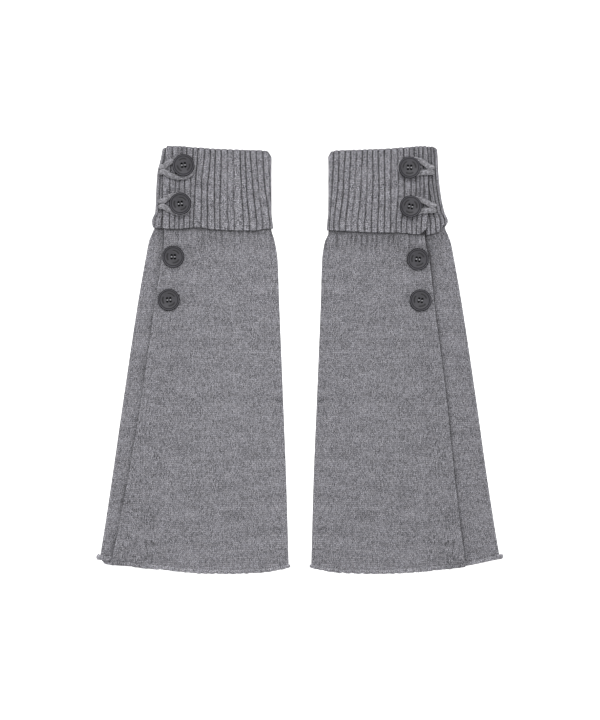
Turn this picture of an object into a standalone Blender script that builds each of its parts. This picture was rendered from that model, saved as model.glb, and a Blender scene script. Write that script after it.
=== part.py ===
"""A pair of knitted leg warmers, laid flat with their laps showing.

Each one is a flared jersey body wrapped into a tube, its front edge lapped over its under
edge, with a ribbed band on top that is turned down as a cuff. Two buttons on the cuff are
caught by knitted loops, and two more sit on the body's front edge.

The frame is +Y towards the cuffs and +Z up from the surface that they lie on. Sizes are in
millimetres until world() turns them into metres. Positions across one leg warmer are
counted from the middle of its cuff, negative towards the lap.
"""

import math
import random
from collections import namedtuple

import bmesh
import bpy
from mathutils import Euler, Vector

MM = 0.001

# Driving sizes
LEG_SPACING = 172.0  # between the middles of the two cuffs
JERSEY = 1.4  # wall of the body
RIB_WALL = 1.5  # wall of the cuff, under its ribs
RIB_HEIGHT = 0.5
RIB_WIDTH = 5.9
GAP = 0.3  # between pieces that touch
SLACK = 0.4  # between the layers of one piece

# Where the pieces begin and end along the leg, from the middle of its length
TOP_Y = 200.0  # near the fold at the top of the cuff
SEAM_Y = 145.0  # body meets ribbed band, hidden under the cuff
HEM_Y = -200.0  # near the hem
HEM_MIDDLE = -211.0
LAY_DOWN = 24.0  # length over which the body drops from the band to the surface
LIFT_TOP = -168.0  # the rolled hem starts to lift the layers here
LIFT_LENGTH = 26.0

# The turned-down band
TURN_PITCH = RIB_WALL + GAP  # between the band's inner and outer layer
BAND_INSET = TURN_PITCH + RIB_HEIGHT  # from the cuff's outline to the inner layer's
CUFF_RAMP = 6.0  # width over which the front steps down past the under edge
BODY_RAMP = 9.0
UNDER_CLEAR = 1.0  # the step starts this far past the under edge
CUFF_PUFF = 0.4  # how far the cloth stands up at a side fold
BODY_PUFF = 1.2
PUFF_REACH = 5.0

# The rolled hem
ROLL_TURN = math.radians(250)
ROLL_FRONT = 1.5  # radius of the roll, to the middle of the wall
ROLL_SIDE = 0.9
ROLL_BACK = 1.0
ROLL_LAP = 1.5
ROLL_UNDER = 1.2

# Gathers where the jersey leaves the band
GATHER_HEIGHT = 0.45
GATHER_LENGTH = 24.0

# Buttons and loops
BUTTON_RADIUS = 11.0
HOLE_RADIUS = 0.9
HOLE_SPACING = 3.2
LOOP_RADIUS = 2.2
LOOP_BEND = 3.0  # where a strand turns down past the front edge

Section = namedtuple("Section", "y lap_fold front_edge under_edge plain_fold")
Edge = namedtuple("Edge", "x y")
Layers = namedtuple("Layers", "back under lap front")
Button = namedtuple("Button", "name x y tilt_x tilt_y")
Loop = namedtuple("Loop", "name button anchor_x anchor_y spread near_low near_high low high")
Leg = namedtuple(
    "Leg",
    "side seed lean body cuff cuff_edge lap_edge hem lap_hem back_hem buttons loops",
)

CUFF_TOP = [
    Edge(-52, 211.5),
    Edge(-47, 213.2),
    Edge(-35, 213.2),
    Edge(-20, 212.0),
    Edge(0, 211.2),
    Edge(25, 210.2),
    Edge(48, 209.4),
    Edge(55, 208.0),
    Edge(58, 204.0),
]
HEM = [
    Edge(-112, -200.0),
    Edge(-99, -203.0),
    Edge(-80, -206.8),
    Edge(-68, -208.4),
    Edge(-46, -210.4),
    Edge(-28, -212.5),
    Edge(10, -213.5),
    Edge(48, -212.5),
    Edge(62, -211.0),
    Edge(75, -207.5),
]

LEFT = Leg(
    side=-1,
    seed=3,
    lean=0.0,
    body=[
        Section(145, -57.0, -49.8, -12.5, 55.7),
        Section(133, -58.7, -50.0, -12.5, 56.8),
        Section(127, -61.3, -49.2, -12.5, 58.3),
        Section(119, -64.7, -49.3, -14.0, 60.9),
        Section(99, -68.7, -52.2, -18.0, 64.0),
        Section(59, -75.7, -58.3, -24.0, 65.5),
        Section(-41, -90.7, -72.7, -38.0, 69.5),
        Section(-121, -102.2, -86.0, -48.0, 72.6),
        Section(-206, -115.0, -102.5, -60.0, 75.0),
    ],
    cuff=[
        Section(212, -51.5, -46.8, -12.5, 58.3),
        Section(200, -53.7, -47.8, -12.5, 58.2),
        Section(188, -56.7, -49.8, -12.5, 58.0),
        Section(172, -57.9, -50.1, -12.5, 58.0),
        Section(148, -59.0, -49.8, -12.5, 58.0),
        Section(139, -61.4, -50.0, -12.5, 58.8),
        Section(124, -62.0, -50.2, -12.5, 60.8),
    ],
    cuff_edge=[
        Edge(-61, 138.2),
        Edge(-50, 130.4),
        Edge(-38, 129.2),
        Edge(-15, 130.8),
        Edge(0, 128.6),
        Edge(38, 127.5),
        Edge(51, 130.0),
        Edge(60, 130.5),
    ],
    lap_edge=[Edge(-61, 138.2), Edge(-58, 131.5), Edge(-50, 130.8)],
    hem=[Edge(-100, -206.0), *HEM[3:]],
    lap_hem=[Edge(-115, -200.0), Edge(-99, -201.0), Edge(-80, -203.0)],
    back_hem=[Edge(-113, -200.0), Edge(-109, -204.8), Edge(-99, -206.2), *HEM[3:]],
    buttons=[
        Button("1", -29.2, 192.8, 7, 1),
        Button("2", -32.2, 154.5, 5, -3),
        Button("3", -40.2, 102.6, 0, 0),
        Button("4", -44.7, 59.5, 0, 0),
    ],
    loops=[
        Loop("1", 0, -52.3, 189.2, 5.0, -10.6, 5.2, -11.4, 7.0),
        Loop("2", 1, -52.7, 154.8, 5.2, -5.6, 7.4, -8.6, 8.4),
    ],
)

RIGHT = Leg(
    side=1,
    seed=8,
    lean=1.8,
    body=[
        Section(145, -57.0, -41.8, -12.5, 55.7),
        Section(133, -58.7, -40.2, -12.5, 56.8),
        Section(124, -62.6, -39.2, -12.5, 58.4),
        Section(118, -64.9, -39.9, -14.0, 61.0),
        Section(99, -68.8, -44.9, -20.0, 63.8),
        Section(59, -75.8, -49.7, -25.0, 65.0),
        Section(-41, -90.8, -62.0, -35.0, 69.0),
        Section(-121, -102.0, -69.3, -37.5, 72.3),
        Section(-206, -115.2, -79.5, -39.5, 74.6),
    ],
    cuff=[
        Section(212, -51.7, -40.3, -12.5, 58.3),
        Section(200, -52.7, -41.5, -12.5, 58.0),
        Section(188, -53.1, -41.8, -12.5, 57.8),
        Section(172, -54.6, -41.8, -12.5, 57.8),
        Section(148, -59.0, -42.0, -12.5, 57.8),
        Section(139, -61.5, -40.8, -12.5, 58.7),
        Section(124, -62.0, -39.2, -12.5, 60.0),
    ],
    cuff_edge=[
        Edge(-62, 137.5),
        Edge(-50, 128.0),
        Edge(-40, 124.7),
        Edge(-30, 124.7),
        Edge(-21, 125.9),
        Edge(-7, 126.5),
        Edge(17, 127.1),
        Edge(42, 128.3),
        Edge(59, 129.2),
    ],
    lap_edge=[
        Edge(-62, 137.5),
        Edge(-59, 133.7),
        Edge(-54.5, 133.3),
        Edge(-52, 127.8),
        Edge(-39, 123.9),
    ],
    hem=[Edge(-80, -206.5), *HEM[3:]],
    lap_hem=[Edge(-115, -198.6), Edge(-99, -202.5), Edge(-80, -206.0)],
    back_hem=HEM,
    buttons=[
        Button("1", -22.8, 190.4, 2, -2),
        Button("2", -23.8, 151.7, 2, -3),
        Button("3", -31.9, 100.1, 0, 0),
        Button("4", -34.5, 59.0, 0, 0),
    ],
    loops=[
        Loop("1", 0, -46.0, 188.7, 5.0, -4.6, 7.0, -6.8, 8.2),
        Loop("2", 1, -48.2, 150.9, 5.0, -4.0, 6.8, -6.4, 8.0),
    ],
)

# The zones that a wall passes through, from the front edge round to the under edge
LAP, RAMP, FRONT, PLAIN_FOLD, BACK, LAP_FOLD, UNDER = range(7)
COARSE_STOPS = {
    LAP: (0, 0.33, 0.67),
    RAMP: (0, 0.5),
    FRONT: (0, 0.3, 0.6, 0.83, 0.93),
    PLAIN_FOLD: (0, 0.25, 0.5, 0.75),
    BACK: (0, 0.17, 0.33, 0.5, 0.67, 0.83),
    LAP_FOLD: (0, 0.25, 0.5, 0.75),
    UNDER: (0, 0.12, 0.3, 0.65, 1),
}
COARSE = [(zone + stop, 0.0) for zone, stops in COARSE_STOPS.items() for stop in stops]


def mix(a, b, share):
    return a + (b - a) * share


def smooth(share):
    """Eases from 0 to 1, and stays there outside that range."""
    share = min(1.0, max(0.0, share))
    return share * share * (3 - 2 * share)


def bump(reach):
    """Falls smoothly from 1 to nothing as reach grows."""
    return math.exp(-reach * reach)


def gentle_slope(before, after):
    """The slope at a table's point that keeps the curve from overshooting."""
    if before * after <= 0:
        return 0.0
    return 2 * before * after / (before + after)


def along(xs, ys, x):
    """The smooth curve through the points (xs, ys), read at x and held flat past its ends."""
    x = min(xs[-1], max(xs[0], x))
    steps = [(ys[i + 1] - ys[i]) / (xs[i + 1] - xs[i]) for i in range(len(xs) - 1)]
    i = max(k for k in range(len(steps)) if xs[k] <= x)
    start = gentle_slope(steps[i - 1], steps[i]) if i else steps[0]
    end = gentle_slope(steps[i], steps[i + 1]) if i + 1 < len(steps) else steps[-1]
    width = xs[i + 1] - xs[i]
    t = (x - xs[i]) / width
    eased = smooth(t)
    return (
        mix(ys[i], ys[i + 1], eased)
        + width * start * t * (1 - t) ** 2
        - width * end * t * t * (1 - t)
    )


def edge_at(edges, x):
    return along([e.x for e in edges], [e.y for e in edges], x)


def lowest_cuff(leg):
    return min(e.y for e in leg.cuff_edge + leg.lap_edge)


def section(leg, part, y):
    """The outline at y: the band's inner layer's, or the body's, which fits inside the cuff."""
    table = sorted(leg.cuff if part == "cuff" else leg.body)
    ys = [row.y for row in table]
    lap, front, under, plain = (
        along(ys, [getattr(row, column) for row in table], y)
        for column in Section._fields[1:]
    )
    if part == "cuff":
        return Section(y, lap + BAND_INSET, front, under, plain - BAND_INSET)
    band = section(leg, "cuff", y)
    if y > edge_at(leg.lap_edge, -60.0):
        lap = max(lap, band.lap_fold)
    if y > lowest_cuff(leg):
        plain = min(plain, band.plain_fold)
    return Section(y, lap, front, under, plain)


def stack(wall, outside, slack):
    """Heights of the middle of each layer, for a wall with so much more cloth outside it."""
    back = wall / 2 + outside
    under = back + wall + slack
    lap = under + wall + outside + (slack if not outside else RIB_HEIGHT + GAP)
    return Layers(back, under, lap, under)


BAND_STACK = stack(RIB_WALL, TURN_PITCH, SLACK)
BODY_STACK = stack(JERSEY, 0.0, SLACK)


def laid_down(leg, part, y):
    """How far a layer at y has dropped from the band's height to the body's, from 0 to 1."""
    if part == "cuff":
        return 0.0
    return smooth((lowest_cuff(leg) - 1.5 - y) / LAY_DOWN)


def layers(leg, part, y):
    """Heights of the layers at y.

    The band's ease down to the body's, which rise again over the rolls of the hem.
    """
    if part == "cuff":
        return BAND_STACK
    down = laid_down(leg, part, y)
    lift = smooth((LIFT_TOP - y) / LIFT_LENGTH)
    under_back = 2 * ROLL_BACK * lift
    under_lap = (2 * ROLL_UNDER + JERSEY / 2 - SLACK / 2) * lift
    back, under, lap, front = (mix(a, b, down) for a, b in zip(BAND_STACK, BODY_STACK))
    return Layers(
        back + under_back,
        under + under_back,
        lap + under_back + under_lap,
        front + under_back,
    )


def wall_path(leg, part, u, y):
    """Where the middle of a wall lies at height y, and which way is out: (x, z, out_x, out_z)."""
    zone = min(int(u), UNDER)
    f = u - zone
    s = section(leg, part, y)
    z = layers(leg, part, y)
    half_wall = (RIB_WALL if part == "cuff" else JERSEY) / 2
    down = laid_down(leg, part, y)
    plain_puff = mix(CUFF_PUFF, BODY_PUFF, down)
    lap_puff = BODY_PUFF * down
    ramp = mix(CUFF_RAMP, BODY_RAMP, down)
    plain_turn = (z.front + plain_puff - z.back) / 2
    lap_turn = (z.under + lap_puff - z.back) / 2
    plain_x = s.plain_fold - half_wall - plain_turn
    lap_x = s.lap_fold + half_wall + lap_turn
    step_x = s.under_edge + UNDER_CLEAR
    if zone == LAP:
        return mix(s.front_edge, step_x, f), z.lap, 0.0, 1.0
    if zone == RAMP:
        return mix(step_x, step_x + ramp, f), mix(z.lap, z.front, smooth(f)), 0.0, 1.0
    if zone == FRONT:
        x = mix(step_x + ramp, plain_x, f)
        return x, z.front + plain_puff * bump((plain_x - x) / PUFF_REACH), 0.0, 1.0
    if zone == PLAIN_FOLD:
        angle = math.pi * (0.5 - f)
        out_x, out_z = math.cos(angle), math.sin(angle)
        return plain_x + plain_turn * out_x, z.back + plain_turn * (1 + out_z), out_x, out_z
    if zone == BACK:
        return mix(plain_x, lap_x, f), z.back, 0.0, -1.0
    if zone == LAP_FOLD:
        angle = -math.pi * (0.5 + f)
        out_x, out_z = math.cos(angle), math.sin(angle)
        return lap_x + lap_turn * out_x, z.back + lap_turn * (1 + out_z), out_x, out_z
    x = mix(lap_x, s.under_edge, f)
    return x, z.under + lap_puff * bump((x - lap_x) / PUFF_REACH), 0.0, 1.0


def world(leg, x, y, z):
    """A point of one leg warmer in the shared frame, in metres."""
    return Vector((leg.side * (LEG_SPACING / 2 - x), y, z)) * MM


def rolled(path, y, forward, radius, angle, offset):
    """A point offset from a wall that has turned by angle about a roll on its outer side.

    forward is +1 where the cloth runs towards +Y before the roll, and -1 towards -Y.
    """
    x, z, out_x, out_z = path
    sine, cosine = math.sin(angle), math.cos(angle)
    out = radius * (1 - cosine) + offset * cosine
    return x + out_x * out, y + forward * (radius - offset) * sine, z + out_z * out


def hem_roll(u):
    """The radius of the hem's roll, which the cloth above it flattens at the back."""
    stops = [0, FRONT + 0.8, PLAIN_FOLD + 0.5, BACK, LAP_FOLD, LAP_FOLD + 0.5, UNDER + 0.6, 7]
    radii = [ROLL_FRONT, ROLL_FRONT, ROLL_SIDE, ROLL_BACK, ROLL_BACK, ROLL_LAP, ROLL_UNDER, ROLL_UNDER]
    return along(stops, radii, u)


def hem_y(leg, u):
    """Where the hem's roll begins at u."""
    x, _, out_x, _ = wall_path(leg, "body", u, HEM_Y)
    x += out_x * JERSEY / 2
    if u <= PLAIN_FOLD:
        y = edge_at(leg.hem, x)
    elif u <= LAP_FOLD:
        y = edge_at(leg.back_hem, x)
    else:
        y = edge_at(leg.lap_hem, x)
        y = mix(edge_at(leg.back_hem, x), y, smooth(u - LAP_FOLD))
    return y + hem_roll(u) + JERSEY / 2


def body_point(leg, u, s, side, relief):
    """A point of the body, where s is 0 at the seam, 1 at the hem and 2 where its roll ends."""
    bottom = hem_y(leg, u)
    y = mix(SEAM_Y, bottom, min(s, 1.0))
    offset = side * JERSEY / 2 + relief * gather(leg, y)
    angle = max(0.0, s - 1.0) * ROLL_TURN
    return rolled(wall_path(leg, "body", u, y), y, -1, hem_roll(u), angle, offset)


def gather(leg, y):
    """How far a gather stands up at y, below the cuff's edge."""
    start = lowest_cuff(leg) - 1.0
    return GATHER_HEIGHT * smooth((start + 2 - y) / 3) * smooth(1 - (start - y) / GATHER_LENGTH)


def cuff_x(leg, u, y):
    """Where the cuff's outer face lies at u, across the leg."""
    x, _, out_x, _ = wall_path(leg, "cuff", u, y)
    return x + out_x * (TURN_PITCH + RIB_WALL / 2 + RIB_HEIGHT)


def cuff_bottom(leg, u):
    x = cuff_x(leg, u, SEAM_Y)
    if u <= LAP_FOLD:
        return edge_at(leg.cuff_edge, x)
    return mix(edge_at(leg.cuff_edge, x), edge_at(leg.lap_edge, x), smooth(u - LAP_FOLD))


def lean(leg, u, y):
    """How far the ribs of the lap swing away from its edge towards the bottom of the cuff."""
    if u >= RAMP:
        return 0.0
    return leg.lean * math.sin(math.pi * u) * smooth((152 - y) / 26)


def cuff_point(leg, u, s, side, relief):
    """A point of the ribbed band.

    s is 0 at the seam, 1 at the top, 2 past the fold there and 3 at the cuff's edge. side is
    1 for the face that shows on the cuff, which the inner layer turns towards the leg.
    """
    turn = TURN_PITCH / 2
    top = edge_at(CUFF_TOP, cuff_x(leg, u, TOP_Y)) - turn - RIB_WALL / 2 - RIB_HEIGHT
    y = mix(SEAM_Y + GAP, top, min(s, 1.0))
    if s > 2:
        y = mix(top, cuff_bottom(leg, u), s - 2)
    angle = math.pi * min(1.0, max(0.0, s - 1.0))
    offset = -side * (RIB_WALL / 2 + relief * RIB_HEIGHT)
    x, z, out_x, out_z = wall_path(leg, "cuff", u, y)
    x += lean(leg, u, y)
    return rolled((x, z, out_x, out_z), y, 1, turn, angle, offset)


def uneven(rng, count):
    """Places from 0 to 1 that divide it into count stretches of slightly different widths."""
    widths = [rng.uniform(0.86, 1.14) for _ in range(count)]
    places = [0.0]
    for width in widths:
        places.append(places[-1] + width / sum(widths))
    return places


def zone_width(leg, zone):
    return abs(wall_path(leg, "cuff", zone + 0.999, 170)[0] - wall_path(leg, "cuff", zone, 170)[0])


def rib_places(leg):
    """Where each rib of a leg warmer starts and ends, by zone, in the order they are knitted."""
    rng = random.Random(leg.seed)
    places = []
    for zone in (LAP, RAMP, FRONT, UNDER):
        count = max(1, round(zone_width(leg, zone) / RIB_WIDTH))
        stops = uneven(rng, count)
        places += [(zone + a, zone + b) for a, b in zip(stops, stops[1:])]
    return places


def ribbed(leg):
    """Columns for the cuff's face: each rib has a valley and two shoulders. The back lies flat."""
    columns = {u: 0.0 for u, _ in COARSE if BACK <= u < LAP_FOLD}
    for start, end in rib_places(leg):
        columns[start] = 0.0
        columns[mix(start, end, 0.28)] = 1.0
        columns[mix(start, end, 0.72)] = 1.0
    for fold in (PLAIN_FOLD, LAP_FOLD):
        for share, height in ((0, 0), (0.17, 1), (0.33, 1), (0.5, 0), (0.67, 1), (0.83, 1)):
            columns[fold + share] = float(height)
    columns[UNDER + 1.0] = 0.0
    return sorted(columns.items())


def gathered(leg):
    """Columns for the top of the body: a crest and a valley for each rib across the front."""
    columns = {u: 0.0 for u, _ in COARSE if u >= PLAIN_FOLD}
    for start, end in rib_places(leg):
        if start < PLAIN_FOLD:
            columns[start] = 0.0
            columns[mix(start, end, 0.5)] = 1.0
    return sorted(columns.items())


def join(bm, first, second):
    """Faces between two rows of (u, vertex) that run the same way, whatever their counts."""
    i = j = 0
    while i < len(first) - 1 or j < len(second) - 1:
        a, b = first[i][1], second[j][1]
        a_next = first[min(i + 1, len(first) - 1)]
        b_next = second[min(j + 1, len(second) - 1)]
        both = i < len(first) - 1 and j < len(second) - 1
        if both and abs(a_next[0] - b_next[0]) < 1e-6:
            bm.faces.new((a, a_next[1], b_next[1], b))
            i, j = i + 1, j + 1
        elif j == len(second) - 1 or (both and a_next[0] < b_next[0]):
            bm.faces.new((a, a_next[1], b))
            i += 1
        else:
            bm.faces.new((a, b_next[1], b))
            j += 1


def knit_wall(name, leg, point, rows, material):
    """A closed wall of cloth. rows holds (s, columns of the face, columns of the reverse)."""
    bm = bmesh.new()
    face, reverse = [], []
    for s, face_columns, reverse_columns in rows:
        for skin, side, columns in ((face, 1, face_columns), (reverse, -1, reverse_columns)):
            skin.append([
                (u, bm.verts.new(world(leg, *point(leg, u, s, side, relief))))
                for u, relief in columns
            ])
    for skin in (face, reverse):
        for upper, lower in zip(skin, skin[1:]):
            join(bm, upper, lower)
    join(bm, face[0], reverse[0])
    join(bm, face[-1], reverse[-1])
    for end in (0, -1):
        for i in range(len(rows) - 1):
            corners = (face[i], face[i + 1], reverse[i + 1], reverse[i])
            bm.faces.new([row[end][1] for row in corners])
    bmesh.ops.recalc_face_normals(bm, faces=bm.faces)
    mesh = bpy.data.meshes.new(name)
    bm.to_mesh(mesh)
    bm.free()
    mesh.shade_smooth()
    mesh.set_sharp_from_angle(angle=math.radians(50))
    return add(name, mesh, material)


def make_body(leg, name, material):
    """The jersey: plain above the cuff's edge, gathered just below it, then plain to the rolled hem."""
    start = lowest_cuff(leg) + 1.5
    gathers = gathered(leg)
    places = [(SEAM_Y, COARSE), ((SEAM_Y + start) / 2, COARSE)]
    places += [(start - drop, gathers) for drop in (0, 4, 10, 17)]
    places += [(y, COARSE) for y in (start - 25, 80, 55, 10, -40, -90, -135, -165, -180, -195)]
    length = SEAM_Y - HEM_MIDDLE
    rows = [((SEAM_Y - y) / length, columns, COARSE) for y, columns in places]
    rows += [(1 + turn / 6, COARSE, COARSE) for turn in range(7)]
    return knit_wall(name, leg, body_point, rows, material)


def make_cuff(leg, name, material):
    """The ribbed band: a plain inner layer, the fold at the top, and the ribbed outer layer."""
    ribs = ribbed(leg)
    rows = [(s, COARSE, COARSE) for s in (0.0, 0.1, 0.38, 0.62, 0.87, 1.0)]
    rows += [(s, ribs, COARSE) for s in (1.25, 1.5, 1.75, 2.0, 2.1, 2.3, 2.5, 2.8, 2.9)]
    rim = sorted({(u, 0.0) for u, height in ribs if not height}.union(COARSE))
    rows.append((3.0, ribs, rim))
    return knit_wall(name, leg, cuff_point, rows, material)


def button_mesh():
    """A four-hole button: a turned disc with a raised rim and a groove inside it, lying on Z 0."""
    profile = [
        (0.0, 2.4),
        (8.5, 2.9),
        (9.1, 2.5),
        (9.8, 3.1),
        (10.7, 2.7),
        (BUTTON_RADIUS, 1.3),
        (9.8, 0.0),
        (0.0, 0.0),
    ]
    bm = bmesh.new()
    points = [bm.verts.new(Vector((r, 0, z)) * MM) for r, z in profile]
    for upper, lower in zip(points, points[1:]):
        bm.edges.new((upper, lower))
    mesh = bpy.data.meshes.new("button_profile")
    bm.to_mesh(mesh)
    bm.free()
    disc = bpy.data.objects.new("button_disc", mesh)
    turned = disc.modifiers.new("Turn", "SCREW")
    turned.steps = turned.render_steps = 20
    turned.use_merge_vertices = True
    turned.merge_threshold = 0.0001
    holes = hole_cutter()
    cut = disc.modifiers.new("Holes", "BOOLEAN")
    cut.operation = "DIFFERENCE"
    cut.solver = "EXACT"
    cut.object = holes
    pieces.objects.link(disc)
    made = bpy.data.meshes.new_from_object(disc.evaluated_get(bpy.context.evaluated_depsgraph_get()))
    bpy.data.objects.remove(disc)
    bpy.data.objects.remove(holes)
    made.shade_smooth()
    made.set_sharp_from_angle(angle=math.radians(40))
    return made


def hole_cutter():
    """Four round pins, longer than the button is thick."""
    bm = bmesh.new()
    for x in (-1, 1):
        for y in (-1, 1):
            pin = bmesh.ops.create_cone(
                bm,
                cap_ends=True,
                segments=8,
                radius1=HOLE_RADIUS * MM,
                radius2=HOLE_RADIUS * MM,
                depth=10 * MM,
            )
            shift = Vector((x, y, 0)) * HOLE_SPACING / 2 * MM
            bmesh.ops.translate(bm, verts=pin["verts"], vec=shift)
    mesh = bpy.data.meshes.new("button_holes")
    bm.to_mesh(mesh)
    bm.free()
    holes = bpy.data.objects.new("button_holes", mesh)
    holes.hide_render = True
    holes.display_type = "WIRE"
    cutters.objects.link(holes)
    return holes


def cuff_surface():
    """Height of the ribs' crests where the front laps over the under edge."""
    return BAND_STACK.lap + TURN_PITCH + RIB_WALL / 2 + RIB_HEIGHT


def body_surface(leg, y):
    return layers(leg, "body", y).lap + JERSEY / 2 + gather(leg, y)


def seat(leg, button):
    """The height of a button's middle, and its tilt about X and Y, in radians."""
    tilt_x, tilt_y = math.radians(button.tilt_x), math.radians(button.tilt_y)
    if button.y > SEAM_Y:
        raised = BUTTON_RADIUS * (abs(math.sin(tilt_x)) + abs(math.sin(tilt_y)))
        return cuff_surface() + 2 * LOOP_RADIUS + 2 * GAP + raised, tilt_x, tilt_y
    low = body_surface(leg, button.y - BUTTON_RADIUS)
    high = body_surface(leg, button.y + BUTTON_RADIUS)
    tilt_x = math.atan2(high - low, 2 * BUTTON_RADIUS)
    reach = [k / 10 * BUTTON_RADIUS for k in range(-10, 11)]
    rest = max(body_surface(leg, button.y + dy) - dy * math.tan(tilt_x) for dy in reach)
    return rest + GAP, tilt_x, 0.0


def make_button(leg, button, name, mesh, material):
    height, tilt_x, tilt_y = seat(leg, button)
    placed = add(name, mesh, material)
    placed.location = world(leg, button.x, button.y, height)
    placed.rotation_euler = Euler((tilt_x, -leg.side * tilt_y, 0))
    return placed


def loop_route(leg, loop):
    """The middle line of a button loop: up from the under layer, round the button's neck, and back."""
    button = leg.buttons[loop.button]
    top = cuff_surface() + GAP + LOOP_RADIUS
    foot = BAND_STACK.under + TURN_PITCH + RIB_WALL / 2 + RIB_HEIGHT + GAP
    route = []
    for way, near, far in ((-1, loop.near_low, loop.low), (1, loop.near_high, loop.high)):
        y = loop.anchor_y + way * loop.spread / 2
        strand = [(loop.anchor_x, y, foot)]
        for angle in (0, math.pi / 6, math.pi / 3, math.pi / 2):
            along_x = LOOP_BEND * (1 - math.cos(angle))
            strand.append((loop.anchor_x + along_x, y, top - LOOP_BEND * (1 - math.sin(angle))))
        strand += [
            (button.x - 11, button.y + near, top),
            (button.x - 2, button.y + far, top),
            (button.x + 6, button.y + 0.75 * far, top),
        ]
        route += strand if way < 0 else [(button.x + 9, button.y, top)] + strand[::-1]
    return route


def smooth_route(route, step):
    """Points no more than step apart on a smooth curve through the route's points."""
    points = [Vector(p) for p in route]
    points = [2 * points[0] - points[1], *points, 2 * points[-1] - points[-2]]
    made = []
    for before, a, b, after in zip(points, points[1:], points[2:], points[3:]):
        count = math.ceil((b - a).length / step)
        for k in range(count):
            t = k / count
            made.append(
                0.5 * (2 * a + (b - before) * t + (2 * before - 5 * a + 4 * b - after) * t**2)
                + 0.5 * (3 * a - before - 3 * b + after) * t**3
            )
    return made + [points[-2]]


def make_loop(leg, loop, name, material):
    curve = bpy.data.curves.new(name, "CURVE")
    curve.dimensions = "3D"
    curve.bevel_depth = LOOP_RADIUS * MM
    curve.bevel_resolution = 2
    curve.use_fill_caps = True
    route = smooth_route(loop_route(leg, loop), 4.5)
    spline = curve.splines.new("POLY")
    spline.points.add(len(route) - 1)
    for point, place in zip(spline.points, route):
        point.co = (*world(leg, *place), 1.0)
    return add(name, curve, material)


def new_material(name, colour, roughness):
    material = bpy.data.materials.new(name)
    material.use_nodes = True
    shader = material.node_tree.nodes["Principled BSDF"]
    shader.inputs["Base Color"].default_value = (*colour, 1.0)
    shader.inputs["Roughness"].default_value = roughness
    return material


def add(name, data, material):
    if material.name not in data.materials:
        data.materials.append(material)
    made = bpy.data.objects.new(name, data)
    pieces.objects.link(made)
    return made


def new_collection(name):
    made = bpy.data.collections.new(name)
    bpy.context.scene.collection.children.link(made)
    return made


for old in list(bpy.data.objects):
    bpy.data.objects.remove(old)
pieces = new_collection("leg_warmers")
cutters = new_collection("cutters")
cutters.hide_render = True

jersey = new_material("grey_jersey", (0.23, 0.23, 0.25), 0.95)
rib = new_material("grey_rib", (0.21, 0.21, 0.23), 0.95)
loop_yarn = new_material("loop_yarn", (0.28, 0.28, 0.30), 0.9)
button_plastic = new_material("button_plastic", (0.06, 0.06, 0.065), 0.45)
button_data = button_mesh()

for side_name, leg in (("left", LEFT), ("right", RIGHT)):
    make_body(leg, f"body_{side_name}", jersey)
    make_cuff(leg, f"cuff_{side_name}", rib)
    for button in leg.buttons:
        make_button(leg, button, f"button_{side_name}_{button.name}", button_data, button_plastic)
    for loop in leg.loops:
        make_loop(leg, loop, f"loop_{side_name}_{loop.name}", loop_yarn)
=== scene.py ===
import math

import bmesh
import bpy
import numpy as np
from mathutils import Euler, Matrix, Vector


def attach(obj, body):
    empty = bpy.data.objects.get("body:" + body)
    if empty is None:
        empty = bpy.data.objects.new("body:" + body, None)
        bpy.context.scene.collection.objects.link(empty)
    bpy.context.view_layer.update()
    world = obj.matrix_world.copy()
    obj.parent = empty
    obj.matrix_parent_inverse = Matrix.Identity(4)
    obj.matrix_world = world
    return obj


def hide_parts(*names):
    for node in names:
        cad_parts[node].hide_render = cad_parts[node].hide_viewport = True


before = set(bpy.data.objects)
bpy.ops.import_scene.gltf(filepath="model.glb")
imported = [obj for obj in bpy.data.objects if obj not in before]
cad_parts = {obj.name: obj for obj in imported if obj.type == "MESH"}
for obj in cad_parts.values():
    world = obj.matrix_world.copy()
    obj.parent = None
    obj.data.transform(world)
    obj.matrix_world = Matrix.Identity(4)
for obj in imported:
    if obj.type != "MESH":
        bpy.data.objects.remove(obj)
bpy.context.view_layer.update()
print("frame loaded:", len(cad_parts), "nodes")

# Sizes in mm until toWorld. x runs across one leg warmer from the middle of its cuff,
# negative towards the lap, y along it towards the cuff, z up from the table.
form = {
    "legSpacing": 172.0,
    "jerseyWall": 1.4,
    "ribWall": 1.5,
    "ribHeight": 0.5,
    "gap": 0.3,
    "slack": 0.4,
    "topY": 200.0,
    "seamY": 145.0,
    "hemY": -200.0,
    "hemMiddle": -211.0,
    "layDown": 24.0,
    "liftTop": -168.0,
    "liftLength": 26.0,
    "turnPitch": 1.8,
    "cuffRamp": 6.0,
    "bodyRamp": 9.0,
    "underClear": 1.0,
    "cuffPuff": 0.4,
    "bodyPuff": 1.2,
    "puffReach": 5.0,
    "gatherHeight": 0.45,
    "gatherLength": 24.0,
}
bandInset = form["turnPitch"] + form["ribHeight"]
cuffOut = form["turnPitch"] + form["ribWall"] / 2 + form["ribHeight"]  # from the inner layer's middle
zoneWidth = {"lap": 43, "front": 104, "under": 52}  # roughly, for spacing the body's columns
farOff = 9.0  # past the reach of any shade beside an edge
toMetres = Matrix.Scale(0.001, 4)

# across the wall from the front edge round to the under edge, u counts these zones
lapZone, rampZone, frontZone, plainFold, backZone, lapFold, underZone = range(7)

cuffTop = [(-52, 211.5), (-47, 213.2), (-35, 213.2), (-20, 212), (0, 211.2), (25, 210.2), (48, 209.4),
           (55, 208), (58, 204)]
hemLine = [(-112, -200.4), (-99, -203), (-80, -206.8), (-68, -208.2), (-46, -210.4), (-28, -212.9),
           (10, -214.3), (48, -213.1), (62, -211), (75, -208)]

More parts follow.
